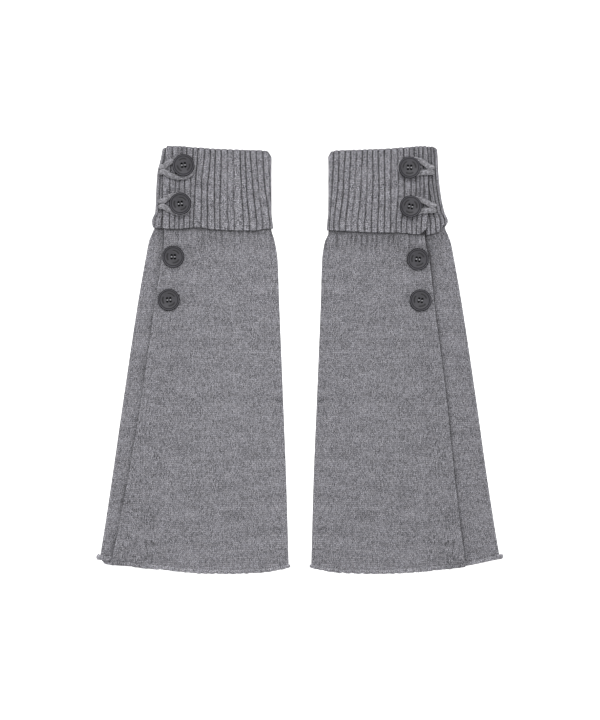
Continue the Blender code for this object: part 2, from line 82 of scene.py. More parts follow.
# body and cuff rows are y, lap fold, front edge, under edge, plain fold
# grooves are x of the cuff's rib grooves near its top, at its middle and near its bottom
# strip gives the grooves beside the lap, as shares of the way to the under edge
# buttons are x, y, tilt about x and y, quarter turns of the disc, turn of the whole button
# loops are button, foot x and y, width at the foot, then below and above the button's middle,
# how far out the strands pass where they reach it and where they leave it
legs = {
    "left": {
        "side": -1,
        "seed": 3,
        "bodyTone": 1.0,
        "stripTone": 1.035,
        "cuffCorner": 1.2,
        "pleats": 0.55,
        "deepGroove": -12,
        "body": [(145, -57, -49.8, -12.5, 55.7), (133, -58.7, -50, -12.5, 56.8),
                 (127, -61.3, -49.2, -12.5, 58.3), (119, -64.7, -49.3, -14, 60.9),
                 (99, -68.7, -52.2, -18, 64), (59, -75.7, -58.3, -24, 65.5), (-41, -90.7, -72.7, -38, 69.5),
                 (-121, -102.2, -86, -48, 72.6), (-206, -115, -102.5, -60, 75)],
        "cuff": [(212, -51.5, -46.8, -12.5, 58.3), (200, -53.7, -47.8, -12.5, 58.2),
                 (188, -56.7, -49.8, -12.5, 58), (172, -57.9, -50.1, -12.5, 58), (148, -59, -49.8, -12.5, 58),
                 (139, -62.3, -50, -12.5, 58.8), (124, -63.3, -50.2, -12.5, 60.8)],
        "cuffEdge": [(-61, 138.2), (-50, 130.4), (-38, 130), (-15, 131.6), (0, 129.8), (38, 128.6),
                     (51, 130.6), (60, 130.8)],
        "lapEdge": [(-61.5, 141.5), (-59.6, 137.6), (-58, 131.8), (-50, 130.6)],
        "hem": [(-103, -204.6), (-82, -206.2), *hemLine[3:]],
        "lapHem": [(-115, -200), (-99, -201), (-80, -203)],
        "backHem": [(-113, -200), (-109, -204.8), (-99, -206.2), *hemLine[3:]],
        "grooves": [(-41.2, -43.5, -43.6), (-35.5, -38, -38.6), (-31.4, -33.9, -34.4),
                    (-26.6, -28.9, -29.4), (-20.5, -23, -23.6), (-15.4, -18.3, -19.8),
                    (-8.9, -11.9, -12.1), (-3.4, -5.9, -6.4), (1.8, 0.7, 1.2), (7.8, 6.7, 6.2),
                    (14.1, 13.6, 14.5), (19.9, 20.1, 20.7), (26.5, 27.8, 29.6), (31.6, 32.9, 35.8),
                    (36.7, 39.4, 42.9), (42.6, 45, 49.2), (49, 51.4, 56.4), (55.2, 56.6, 59.9)],
        "strip": (0.14, 0.28, 0.42, 0.57, 0.71, 0.86),
        "buttons": [(-29.2, 192.8, 7, 1, 2, 8), (-32.2, 154.5, 5, -3, 3, 6), (-40.2, 102.6, 0, 0, 3, 0),
                    (-44.7, 59.5, 0, 0, 3, 4)],
        "loops": [(0, -52.3, 189.2, 5.0, -10.6, 5.2, -11.4, 7.0), (1, -52.7, 154.8, 5.2, -5.6, 7.4, -8.6, 8.4)],
    },
    "right": {
        "side": 1,
        "seed": 8,
        "bodyTone": 0.955,
        "stripTone": 0.99,
        "cuffCorner": 4.2,
        "pleats": 1.0,
        "deepGroove": -8,
        "body": [(145, -57, -41.4, -12.5, 55.7), (133, -58.7, -39.6, -12.5, 56.8),
                 (124, -62.6, -38.6, -12.5, 58.4), (118, -64.9, -39.2, -14, 61), (99, -68.8, -43.6, -20, 63.8),
                 (59, -75.8, -48.2, -25, 65), (-41, -90.8, -61, -35, 69), (-121, -102, -69.3, -37.5, 72.3),
                 (-206, -115.2, -79.5, -39.5, 74.6)],
        "cuff": [(212, -51.7, -40.3, -12.5, 58.3), (200, -52.7, -41.5, -12.5, 58),
                 (188, -53.1, -41.8, -12.5, 57.8), (172, -54.6, -41.8, -12.5, 57.8), (148, -59, -42, -12.5, 57.8),
                 (139, -62.6, -40.8, -12.5, 58.7), (124, -63.6, -39.2, -12.5, 60)],
        "cuffEdge": [(-62, 137.5), (-50, 128), (-40, 124.7), (-30, 124.7), (-21, 125.9), (-7, 126.5),
                     (17, 127.1), (42, 128.3), (59, 129.2)],
        "lapEdge": [(-62, 139.5), (-59.6, 137.2), (-58, 134.8), (-54.5, 134), (-52.4, 128.6),
                    (-39, 123.9)],
        "hem": [(-80, -206.5), *hemLine[3:]],
        "lapHem": [(-115, -198.6), (-99, -202.5), (-80, -206)],
        "backHem": hemLine,
        "grooves": [(-36.6, -37.9, -35), (-32.4, -34.1, -30.2), (-28, -30, -25.7), (-23.4, -24.9, -20.6),
                    (-17.4, -18.6, -15.2), (-11.6, -12.4, -10), (-5.2, -5, -4.7), (1.6, 0.9, 1.6),
                    (7.6, 6.8, 8.1), (13.2, 13, 14.5), (18.5, 18.9, 21.2), (23.6, 24.9, 28.1),
                    (29.3, 30.9, 34.4), (35.2, 36.7, 40.2), (40.8, 42.5, 46.3), (46.7, 48.1, 52.2),
                    (52.4, 53.7, 56.8)],
        "strip": (0.09, 0.2, 0.31, 0.43, 0.57, 0.71, 0.85),
        "buttons": [(-22.8, 190.4, 2, -2, 0, 0), (-23.8, 151.7, 2, -3, 0, -11), (-31.9, 100.1, 0, 0, 3, -8),
                    (-34.5, 59, 0, 0, 3, -10)],
        "loops": [(0, -46.0, 188.7, 5.0, -4.6, 7.0, -6.8, 8.2), (1, -48.2, 150.9, 5.0, -4.0, 6.8, -6.4, 8.0)],
    },
}


def mix(a, b, share):
    return a + (b - a) * share


def ease(share):
    share = np.clip(share, 0, 1)
    return share * share * (3 - 2 * share)


def hump(reach):
    return np.exp(-np.square(reach))


def curveAt(xs, ys, x):
    # the smooth curve through a table's points, with no overshoot, held flat past its ends
    xs, ys = np.asarray(xs, float), np.asarray(ys, float)
    x = np.clip(x, xs[0], xs[-1])
    steps = np.diff(ys) / np.diff(xs)
    slopes = np.empty_like(ys)
    slopes[0], slopes[-1] = steps[0], steps[-1]
    turns = steps[:-1] * steps[1:]
    total = steps[:-1] + steps[1:]
    slopes[1:-1] = np.where(turns > 0, 2 * turns / np.where(total == 0, 1, total), 0)
    i = np.clip(np.searchsorted(xs, x, side="right") - 1, 0, len(xs) - 2)
    width = xs[i + 1] - xs[i]
    t = (x - xs[i]) / width
    bend = slopes[i] * t * (1 - t) ** 2 - slopes[i + 1] * t * t * (1 - t)
    return mix(ys[i], ys[i + 1], ease(t)) + width * bend


def edgeAt(edge, x):
    return curveAt([p[0] for p in edge], [p[1] for p in edge], x)


def toWorld(leg, x, y, z):
    return np.stack([leg["side"] * (form["legSpacing"] / 2 - x), y, z], axis=-1) * 0.001


def lowestCuff(leg):
    return min(p[1] for p in leg["cuffEdge"] + leg["lapEdge"])


def outline(leg, part, y):
    table = sorted(leg[part])
    ys = [row[0] for row in table]
    lap, front, under, plain = (curveAt(ys, [row[k] for row in table], y) for k in (1, 2, 3, 4))
    if part == "cuff":
        return lap + bandInset, front, under, plain - bandInset
    bandLap, _, _, bandPlain = outline(leg, "cuff", y)
    lap = np.where(y > edgeAt(leg["lapEdge"], -60.0), np.maximum(lap, bandLap), lap)
    return lap, front, under, np.where(y > lowestCuff(leg), np.minimum(plain, bandPlain), plain)


def stackOf(wall, outside, slack):
    back = wall / 2 + outside
    under = back + wall + slack
    lap = under + wall + outside + (form["ribHeight"] + form["gap"] if outside else slack)
    return back, under, lap, under


bandStack = stackOf(form["ribWall"], form["turnPitch"], form["slack"])
bodyStack = stackOf(form["jerseyWall"], 0.0, form["slack"])


def laidDown(leg, part, y):
    if part == "cuff":
        return np.zeros_like(y)
    return ease((lowestCuff(leg) - 1.5 - y) / form["layDown"])


def layerHeights(leg, part, y):
    down = laidDown(leg, part, y)
    back, under, lap, front = (mix(a, b, down) for a, b in zip(bandStack, bodyStack))
    if part == "cuff":
        return back, under, lap, front
    lift = ease((form["liftTop"] - y) / form["liftLength"])
    underBack = 2 * hem["back"] * lift
    underLap = (2 * hem["under"] + form["jerseyWall"] / 2 - form["slack"] / 2) * lift
    return back + underBack, under + underBack, lap + underBack + underLap, front + underBack


def pathFacts(leg, part, y):
    lap, front, under, plain = outline(leg, part, y)
    heights = layerHeights(leg, part, y)
    half = (form["ribWall"] if part == "cuff" else form["jerseyWall"]) / 2
    down = laidDown(leg, part, y)
    plainPuff, lapPuff = mix(form["cuffPuff"], form["bodyPuff"], down), form["bodyPuff"] * down
    plainTurn = (heights[3] + plainPuff - heights[0]) / 2
    lapTurn = (heights[1] + lapPuff - heights[0]) / 2
    return {
        "heights": heights,
        "plainPuff": plainPuff,
        "lapPuff": lapPuff,
        "ramp": mix(form["cuffRamp"], form["bodyRamp"], down),
        "plainTurn": plainTurn,
        "lapTurn": lapTurn,
        "plainX": plain - half - plainTurn,
        "lapX": lap + half + lapTurn,
        "stepX": under + form["underClear"],
        "frontEdge": front,
        "underEdge": under,
    }


def wallPath(leg, part, u, y):
    # the middle of a wall at u and y, and which way is out
    u, y = np.broadcast_arrays(np.asarray(u, float), np.asarray(y, float))
    zone = np.clip(np.floor(u), 0, 6).astype(int)
    f = u - zone
    p = pathFacts(leg, part, y)
    back, under, lap, front = p["heights"]
    plainX, lapX, stepX = p["plainX"], p["lapX"], p["stepX"]
    plainAngle, lapAngle = math.pi * (0.5 - f), -math.pi * (0.5 + f)
    frontX, underX = mix(stepX + p["ramp"], plainX, f), mix(lapX, p["underEdge"], f)
    none, full = np.zeros_like(f), np.ones_like(f)
    x = [mix(p["frontEdge"], stepX, f), stepX + p["ramp"] * f, frontX,
         plainX + p["plainTurn"] * np.cos(plainAngle), mix(plainX, lapX, f),
         lapX + p["lapTurn"] * np.cos(lapAngle), underX]
    z = [lap + none, mix(lap, front, ease(f)),
         front + p["plainPuff"] * hump((plainX - frontX) / form["puffReach"]),
         back + p["plainTurn"] * (1 + np.sin(plainAngle)), back + none,
         back + p["lapTurn"] * (1 + np.sin(lapAngle)),
         under + p["lapPuff"] * hump((underX - lapX) / form["puffReach"])]
    outX = [none, none, none, np.cos(plainAngle), none, np.cos(lapAngle), none]
    outZ = [full, full, full, np.sin(plainAngle), -full, np.sin(lapAngle), full]
    return [np.choose(zone, several) for several in (x, z, outX, outZ)]


def rolled(path, y, forward, radius, angle, offset):
    x, z, outX, outZ = path
    out = radius * (1 - np.cos(angle)) + offset * np.cos(angle)
    return x + outX * out, y + forward * (radius - offset) * np.sin(angle), z + outZ * out


def rounded(distance, half):
    # how much of a wall's half thickness is left so far from its cut edge
    return np.sqrt(1 - np.square(1 - np.clip(distance / half, 0, 1)))


def waves(rng, a, b, count, shortest, longest):
    # slow uneven swells between -1 and 1
    total = 0
    for _ in range(count):
        turn, length = rng.uniform(0, math.tau), rng.uniform(shortest, longest)
        along = a * math.cos(turn) + b * math.sin(turn)
        total = total + np.sin(math.tau * along / length + rng.uniform(0, math.tau))
    return total / count


def cornerPoints(mesh):
    corners = np.empty(len(mesh.loops), int)
    mesh.loops.foreach_get("vertex_index", corners)
    return corners


def layKnit(mesh, flat):
    mesh.uv_layers.new(name="knit").data.foreach_set("uv", flat.astype(np.float32).ravel())


def mark(mesh, key, values):
    mesh.attributes.new(key, "FLOAT", "POINT").data.foreach_set("value", np.asarray(values, np.float32))


def faceOutward(mesh):
    shell = bmesh.new()
    shell.from_mesh(mesh)
    bmesh.ops.recalc_face_normals(shell, faces=shell.faces)
    shell.to_mesh(mesh)
    shell.free()
    mesh.shade_smooth()


def wallMesh(name, face, reverse, keptRows, uv, marks):
    # two skins that share the wall's border; the reverse keeps only some of the rows
    rows, columns = face.shape[:2]
    faceIndex = np.arange(rows * columns).reshape(rows, columns)
    reverseIndex = faceIndex.copy()
    inner = [r for r in keptRows if 0 < r < rows - 1]
    count = rows * columns
    for r in inner:
        reverseIndex[r, 1:-1] = np.arange(count, count + columns - 2)
        count += columns - 2
    points = np.concatenate([face.reshape(-1, 3)] + [reverse[r, 1:-1] for r in inner])
    quads = [faceIndex[:-1, :-1], faceIndex[:-1, 1:], faceIndex[1:, 1:], faceIndex[1:, :-1]]
    faces = np.stack(quads, axis=-1).reshape(-1, 4).tolist()
    for above, below in zip(keptRows, keptRows[1:]):
        between = list(range(above + 1, below))
        top, low = reverseIndex[above].tolist(), reverseIndex[below].tolist()
        for c in range(columns - 1):
            loop = [top[c], low[c], low[c + 1], top[c + 1]]
            if c == 0:
                loop[1:1] = faceIndex[between, 0].tolist()
            elif c == columns - 2:
                loop[3:3] = faceIndex[between[::-1], -1].tolist()
            faces.append(loop)
    mesh = bpy.data.meshes.new(name)
    mesh.from_pydata(points.tolist(), [], faces)
    flat = np.concatenate([uv.reshape(-1, 2)] + [uv[r, 1:-1] for r in inner])
    layKnit(mesh, flat[cornerPoints(mesh)])
    marks = {**marks, "reverse": (np.zeros((rows, columns)), np.ones((rows, columns)))}
    for key, value in marks.items():
        front, behind = value if isinstance(value, tuple) else (value, value)
        mark(mesh, key, np.concatenate([front.ravel()] + [behind[r, 1:-1] for r in inner]))
    faceOutward(mesh)
    return mesh


def newObject(name, data):
    made = bpy.data.objects.new(name, data)
    bpy.context.scene.collection.objects.link(made)
    return made


def place(name, mesh, material, node=None):
    piece = newObject(name, mesh)
    if material.name not in mesh.materials:
        mesh.materials.append(material)
    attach(piece, "root")
    if node:
        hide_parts(node)
    return piece


class Wire:  # a value in a material, with the usual arithmetic
    def __init__(self, finish, socket):
        self.finish, self.socket = finish, socket

    def maths(self, operation, *others):
        return self.finish.maths(operation, self, *others)

    def __add__(self, other):
        return self.maths("ADD", other)

    def __sub__(self, other):
        return self.maths("SUBTRACT", other)

    def __rsub__(self, other):
        return self.finish.maths("SUBTRACT", other, self)

    def __mul__(self, other):
        return self.maths("MULTIPLY", other)

    def __truediv__(self, other):
        return self.maths("DIVIDE", other)

    def __rtruediv__(self, other):
        return self.finish.maths("DIVIDE", other, self)

    def __pow__(self, other):
        return self.maths("POWER", other)

    __radd__, __rmul__ = __add__, __mul__


class Finish:  # a material and the nodes that make it
    def __init__(self, name):
        self.material = bpy.data.materials.new(name)
        self.material.use_nodes = True
        self.tree = self.material.node_tree
        self.tree.nodes.clear()

    def add(self, kind, settings=None, inputs=None, out=0):
        node = self.tree.nodes.new("ShaderNode" + kind)
        for key, value in (settings or {}).items():
            if key == "stops":
                for stop, (position, colour) in zip(node.color_ramp.elements, value):
                    stop.position, stop.color = position, colour
            else:
                setattr(node, key, value)
        for key, value in (inputs or {}).items():
            if isinstance(value, Wire):
                self.tree.links.new(value.socket, node.inputs[key])
            else:
                node.inputs[key].default_value = value
        return Wire(self, node.outputs[out])

    def maths(self, operation, *values):
        return self.add("Math", {"operation": operation}, dict(enumerate(values)))

    def mark(self, key):
        return self.add("Attribute", {"attribute_name": key}, out=2)

    def noise(self, where, scale, detail, rough):
        return self.add("TexNoise", {"noise_dimensions": "3D"},
                        {"Vector": where, "Scale": scale, "Detail": detail, "Roughness": rough})

    def blend(self, share, a, b):
        return self.add("Mix", {"data_type": "RGBA"}, {0: share, 6: a, 7: b}, out=2)

    def scaled(self, colour, amount):
        return self.add("VectorMath", {"operation": "SCALE"}, {0: colour, "Scale": amount})

    def close(self, shader):
        end = self.tree.nodes.new("ShaderNodeOutputMaterial")
        self.tree.links.new(shader.socket, end.inputs["Surface"])
        return self.material


def knitFinish(name, look):
    finish = Finish(name)
    uv = finish.add("UVMap", {"uv_map": "knit"})
    across = finish.add("SeparateXYZ", {}, {0: uv}, out=0)
    along = finish.add("SeparateXYZ", {}, {0: uv}, out=1)
    reverse = finish.mark("reverse")
    # painted shade beside the edge of a layer above, and the painted shade and highlights that tone carries
    nearness = (finish.mark("gap").maths("MAXIMUM", 0.0) * -1).maths("EXPONENT")
    tone = finish.mark("tone") * (1 - finish.mark("gapShade") * nearness)
    flat = finish.add("CombineXYZ", {}, {0: across, 1: along, 2: look["seed"] * 13.0})

    def noise(stretch, detail, rough):
        where = finish.add("VectorMath", {"operation": "MULTIPLY"}, {0: flat, 1: stretch})
        return finish.noise(where, 1.0, detail, rough)

    # each wale is a column of V stitches; the reverse shows rows of purl bumps
    along = along + (noise((0.09, 0.04, 1.0), 1.0, 0.5) - 0.5) * (2 * look["wander"])
    across = across + (noise((0.03, 0.09, 3.0), 1.0, 0.5) - 0.5) * look["wander"]
    wale = across / look["wale"]
    waleNumber = wale.maths("FLOOR")
    part = wale - waleNumber
    fromMiddle = (part - 0.5).maths("ABSOLUTE") * 2
    climb = along / look["course"] + fromMiddle * look["slant"]
    course = climb.maths("FLOOR")
    rise = climb - course
    legRidge = 1 - (fromMiddle * 2 - 1) ** 2
    stitchRidge = 1 - (rise * 2 - 1) ** 2
    between = (1 - fromMiddle ** 4) * 0.6 + 0.5
    face = legRidge * between * (stitchRidge * 0.75 + 0.25)
    sway = (part * math.tau).maths("COSINE")
    purlRise = (along / look["course"] + sway * 0.22).maths("FRACT")
    purl = (1 - (purlRise * 2 - 1) ** 2) * (sway * 0.25 + 0.75)
    height = face * (1 - reverse) + purl * reverse

    half = part.maths("GREATER_THAN", 0.5)
    cell = finish.add("CombineXYZ", {}, {0: waleNumber + half * 0.5, 1: course, 2: look["seed"]})
    stitchTone = finish.add("TexWhiteNoise", {"noise_dimensions": "3D"}, {"Vector": cell})
    streak = noise(look["streak"], 2.0, 0.6)
    blotch = noise(look["blotch"], 1.0, 0.5)
    fibre = noise(look["fibre"], 2.0, 0.6)
    shade = (
        1.0
        + (stitchTone - 0.5) * look["stitchTone"]
        + (streak - 0.5) * look["streakTone"]
        + (blotch - 0.5) * look["blotchTone"]
        + (fibre - 0.5) * look["fibreTone"]
    )
    if "waleStreak" in look:  # taut or doubled cloth shows its wales as streaks
        shade = shade + (noise(look["waleStreak"], 1.0, 0.5) - 0.5) * (finish.mark("crisp") * look["waleTone"])
    # painted shade between the stitches' legs, darker where the stitch is low
    cavityShade = height * look["cavityShade"] + (1 - look["cavityShade"] * 0.47)
    colour = finish.blend(noise((0.11, 0.3, 1.0), 1.0, 0.5), (*look["cool"], 1), (*look["warm"], 1))
    colour = finish.scaled(colour, shade.maths("MAXIMUM", 0.12) * cavityShade * tone)

    bump = finish.add("Bump", {}, {"Strength": 1.0, "Distance": look["relief"] * 0.001,
                                   "Height": height + fibre * 0.5})
    shader = finish.add("BsdfPrincipled", {}, {
        "Base Color": colour,
        "Roughness": fibre * 0.1 + (look["roughness"] - 0.05),
        "Normal": bump,
        "Specular IOR Level": 0.2,
        "Sheen Weight": look["sheen"],
        "Sheen Roughness": 0.55,
    })
    return finish.close(shader)


# the widths are in mm, what ends in Tone, Shade or Light is a share of the colour
hem = {"turn": 284, "front": 1.45, "side": 0.95, "back": 1.0, "lap": 1.95, "under": 1.35,
       "unevenness": 0.14, "lumps": 0.75, "uncoil": 0.06, "rollLight": 0.2, "creviceLight": 0.3}
# how the lap's cut edge curls up, and how dark and wide the shade beside it is
edgeCurl = {
    "left": {"lift": 1.0, "reach": 2.6, "shade": 0.45, "spread": 2.8, "patchy": 0.6, "top": 0.2},
    "right": {"lift": 0.8, "reach": 1.2, "shade": 0.9, "spread": 1.3, "patchy": 0.25, "top": 1.6},
}
beadHighlight = {"tone": 0.2, "from": 0.8, "width": 1.1}
anyKnit = {"slant": 0.55, "roughness": 0.93, "sheen": 0.12, "stitchTone": 0.7, "streakTone": 0.45}
jersey = {
    **anyKnit, "wale": 2.1, "course": 1.85, "seed": 1.0, "wander": 2.2, "cavityShade": 0.95, "relief": 0.3,
    "warm": (0.151, 0.147, 0.157), "cool": (0.144, 0.143, 0.160), "streak": (0.045, 0.32, 1.0),
    "blotch": (0.02, 0.09, 1.0), "blotchTone": 0.5, "fibre": (1.1, 1.2, 1.0), "fibreTone": 4.5,
    "waleStreak": (0.8, 0.15, 2.0), "waleTone": 1.25,
}
buttonShadow = {"shade": 0.85, "reach": 8.0, "soft": 1.5}
# a pair is the least and the most of what varies from one gather to the next; shade is a painted shadow below the
# cuff's edge, fold painted light and shade on the gathers, creaseShade painted shade in their creases
gathers = {
    "from": -118.0, "to": 62.0, "spacing": 4.4, "uneven": (0.55, 1.5), "length": (9, 26),
    "height": 1.3, "heightShare": (0.35, 1.0), "drift": (-0.04, 0.06), "width": (1.1, 1.9),
    "fan": 0.0011, "fold": 0.36, "foldLength": 22, "crease": 0.3, "creaseAside": 2.1, "creaseWidth": 0.95,
    "creaseShare": (0.2, 1.0), "creaseShade": 0.75, "shade": 0.78, "shadeReach": 2.3,
}
swell = {"height": 0.38, "shortest": 26, "longest": 70}
doubledShading = {"shade": 0.045, "line": 0.09, "lineFrom": 1.5, "lineWidth": 1.6, "soft": 5}
edgeSteps = (0, 0.09, 0.22, 0.42, 0.7, 1.15, 1.9)  # from a cut edge, where its rounding needs columns


def hemRadius(u):
    stops = [lapZone, frontZone + 0.8, plainFold + 0.5, backZone, lapFold, lapFold + 0.5, underZone + 0.6, 7]
    radii = [hem[k] for k in ("front", "front", "side", "back", "back", "lap", "under", "under")]
    return curveAt(stops, radii, u)


def hemEdge(leg, u):
    x, _, outX, _ = wallPath(leg, "body", u, form["hemY"])
    x = x + outX * form["jerseyWall"] / 2
    behind = edgeAt(leg["backHem"], x)
    under = mix(behind, edgeAt(leg["lapHem"], x), ease(u - lapFold))
    return np.where(u <= plainFold, edgeAt(leg["hem"], x), np.where(u <= lapFold, behind, under))


def spaced(start, end, step):
    return np.linspace(start, end, max(2, math.ceil(abs(end - start) / step) + 1))[:-1].tolist()


def bodyColumns():
    columns = [d / zoneWidth["lap"] for d in (*edgeSteps, 3.1, 4.6)]
    for start, end, step in ((0.15, 1, 0.035), (1, 2, 0.125), (2, 3, 0.0115), (3, 4, 1 / 13), (4, 5, 0.017),
                             (5, 6, 1 / 13), (6, 6.9, 0.04)):
        columns += spaced(start, end, step)
    return columns + [7 - d / zoneWidth["under"] for d in (4.2, 3, *edgeSteps[::-1])]


def shadeUnderButtons(leg, x, y):
    # painted shadow under each button: the share of its colour that cloth keeps there, where it is seen only
    # through the holes
    kept = 1
    for spot in leg["buttons"]:
        away = np.hypot(x - spot[0], y - spot[1])
        kept = kept * (1 - buttonShadow["shade"] * ease((buttonShadow["reach"] - away) / buttonShadow["soft"]))
    return kept


def gatherLift(leg, rng, x, drop):
    # the gathers' ridges and the creases beside them, drop below the cuff
    lift, creases = np.zeros_like(x), np.zeros_like(x)
    spot = gathers["from"]
    while spot < gathers["to"]:
        spot += gathers["spacing"] * rng.uniform(*gathers["uneven"])
        reach = rng.uniform(*gathers["length"])
        tall = gathers["height"] * rng.uniform(*gathers["heightShare"])
        drift = rng.uniform(*gathers["drift"])
        away = x - spot * (1 + gathers["fan"] * drop) - drift * drop
        down = ease((drop + 3) / 3) * ease(1 - drop / reach)
        lift += tall * hump(away / rng.uniform(*gathers["width"])) * down
        crease = hump((away + gathers["creaseAside"]) / gathers["creaseWidth"])
        creases += rng.uniform(*gathers["creaseShare"]) * crease * down
    return lift, np.clip(creases, 0, 1) * leg["pleats"]


def makeBody(name, leg):
    rng = np.random.default_rng(leg["seed"])
    length = form["seamY"] - form["hemMiddle"]
    hidden = [form["seamY"], form["seamY"] - 0.4, 141, 137]
    heights = hidden + spaced(lowestCuff(leg) + 5, 104, 1.15) + spaced(104, form["hemMiddle"], 2.0)
    flatRows = [(form["seamY"] - y) / length for y in heights] + [1.0]
    turnRows = [1 + k / 15 for k in (*range(1, 14), 13.6, 14.1, 14.5, 14.8, 15)]
    rows = flatRows + turnRows
    u, s = np.meshgrid(bodyColumns(), rows)
    radius = hemRadius(u)
    wobble = waves(rng, u * 100, u * 0, 7, 8, 90)
    radius = radius * (1 + hem["unevenness"] * wobble * (u < plainFold + 0.3))
    inFront = (u < plainFold) + (u > lapFold + 0.4)
    alongHem = np.where(u < frontZone, u * zoneWidth["lap"], u * zoneWidth["front"])
    lumps = hem["lumps"] * waves(rng, alongHem, u * 0, 6, 3.6, 11) * inFront
    bottom = hemEdge(leg, u) + lumps + radius + form["jerseyWall"] / 2
    y = mix(form["seamY"], bottom, np.minimum(s, 1))
    path = wallPath(leg, "body", u, y)
    x = path[0]
    facts = pathFacts(leg, "body", y)
    turn = math.radians(hem["turn"]) * (1 + hem["uncoil"] * waves(rng, u * 14, u * 0, 5, 6, 40))
    angle = np.maximum(s - 1, 0) * turn

    # distance from each cut edge, which is rounded over
    fromUnder = np.where(u > underZone, facts["underEdge"] - x, farOff)
    fromEdge = np.where(u < rampZone, x - facts["frontEdge"], fromUnder)
    half = form["jerseyWall"] / 2
    left = np.minimum(np.minimum(fromEdge, (2 - s) * turn * radius), s * length)
    thickness = half * rounded(left, half)

    # gathers under the cuff, then slow swells, only away from the layer below
    drop = lowestCuff(leg) - 1 - y
    lift, creases = gatherLift(leg, rng, x, drop)
    foldShading = np.clip(lift / gathers["height"], 0, 1) - 0.4
    lift -= gathers["crease"] * creases
    beside = np.where(u > lapFold + 0.4, ease((facts["frontEdge"] - 2 - x) / 3), 0)
    free = np.where(u >= plainFold, 0, 1) + beside
    swells = 0.5 + 0.5 * waves(rng, x, y * 0.7, 7, swell["shortest"], swell["longest"])
    lift = (lift + swell["height"] * swells * ease(drop / 30)) * free * ease((y + 202) / 14)
    lift = lift * ease((plainFold - u) / 0.06 + (u > plainFold))

    curl = edgeCurl["left" if leg["side"] < 0 else "right"]
    patchy = 0.85 + curl["patchy"] * waves(rng, x * 0, y, 5, 18, 70)
    curled = curl["lift"] * patchy * hump(fromEdge / curl["reach"]) * (u < rampZone)
    lift = lift + curled * ease((y + 198) / 12)
    skins = [toWorld(leg, *rolled(path, y, -1, radius, angle, side * thickness + lift)) for side in (1, -1)]

    # wales run along y in front, and beside the lap they follow its fold
    foldStart = facts["plainX"] + math.pi * facts["plainTurn"]
    lapStart = np.mean(2 * facts["plainX"] - facts["lapX"]) + 10 - math.pi * facts["lapTurn"]
    zone = np.clip(np.floor(u), 0, 6).astype(int)
    f = u - zone
    flatX = np.choose(zone, [x, x, x, facts["plainX"] + math.pi * facts["plainTurn"] * f,
                             mix(foldStart, lapStart, f), lapStart + math.pi * facts["lapTurn"] * f,
                             lapStart + math.pi * facts["lapTurn"] + x - facts["lapX"]])
    uv = np.stack([flatX + 300, -y + angle * radius + 300], axis=-1)

    # the doubled cloth beside the front edge gets a little painted shade, with a painted highlight along the line
    # where it ends
    over = ease((facts["stepX"] - x) / doubledShading["soft"]) * (u < frontZone)
    line = hump((x - facts["stepX"] - doubledShading["lineFrom"]) / doubledShading["lineWidth"])
    line = line * (u < plainFold) * ease((30 - y) / 60)
    broken = np.clip(0.45 + 0.9 * waves(rng, x * 0.2, y, 6, 5, 22), 0, 1)
    # a painted highlight on the bead stitches along the curled front edge
    beads = 0.5 + 0.8 * waves(rng, x * 0, y, 5, 2.6, 7)
    edge = hump((fromEdge - beadHighlight["from"]) / beadHighlight["width"]) * (u < rampZone) * beads
    tone = 1 - doubledShading["shade"] * over * ease((118 - y) / 20) + doubledShading["line"] * line * broken
    tone = (tone + beadHighlight["tone"] * edge) * shadeUnderButtons(leg, x, y)
    behind = u > lapFold
    # painted shadow below the cuff's edge, painted light and shade on the gathers' ridges and hollows, and
    # painted shade in their creases
    cuffEdge = np.where(behind, edgeAt(leg["lapEdge"], x), edgeAt(leg["cuffEdge"], x))
    cuffShadow = np.exp(-np.maximum(cuffEdge - y, 0) / gathers["shadeReach"])
    tone = tone * (1 - gathers["shade"] * cuffShadow) * leg["bodyTone"] * np.where(behind, leg["stripTone"], 1)
    tone = tone * (1 + gathers["fold"] * foldShading * ease(1 - drop / gathers["foldLength"]))
    tone = tone * (1 - gathers["creaseShade"] * creases)

    # painted light: the roll is painted paler than the body, and the crease where it turns in is painted lighter
    # against its shade, but not beside the front edge, where the roll is painted a little darker
    fading = np.where(u < plainFold, ease((x - facts["frontEdge"] - 12) / 30), 0.7)
    creviceLight = hump((y - bottom - 2.4) / 1.4) * (s < 1) + ease((s - 1.7) / 0.2)
    tone = tone * (1 + hem["rollLight"] * mix(-0.5, 1, fading) * ease((s - 0.995) / 0.02))
    tone = tone * (1 + hem["creviceLight"] * creviceLight * fading)
    nearTop = 1 + curl["top"] * ease((y - 50) / 50)
    gapShade = np.clip(curl["shade"] * patchy * (0.9 + 0.1 * nearTop), 0, 0.95)
    marks = {
        "tone": tone,
        "gap": np.where(behind, (facts["frontEdge"] - x) / (curl["spread"] * nearTop), farOff),
        "gapShade": np.where(behind, gapShade, 0.0),
        "crisp": over * ease((30 - y) / 90),
    }
    kept = [0, 1, 3] + list(range(5, len(flatRows) - 6, 4)) + list(range(len(flatRows) - 4, len(rows)))
    return wallMesh(name, skins[0], skins[1], kept, uv, marks)


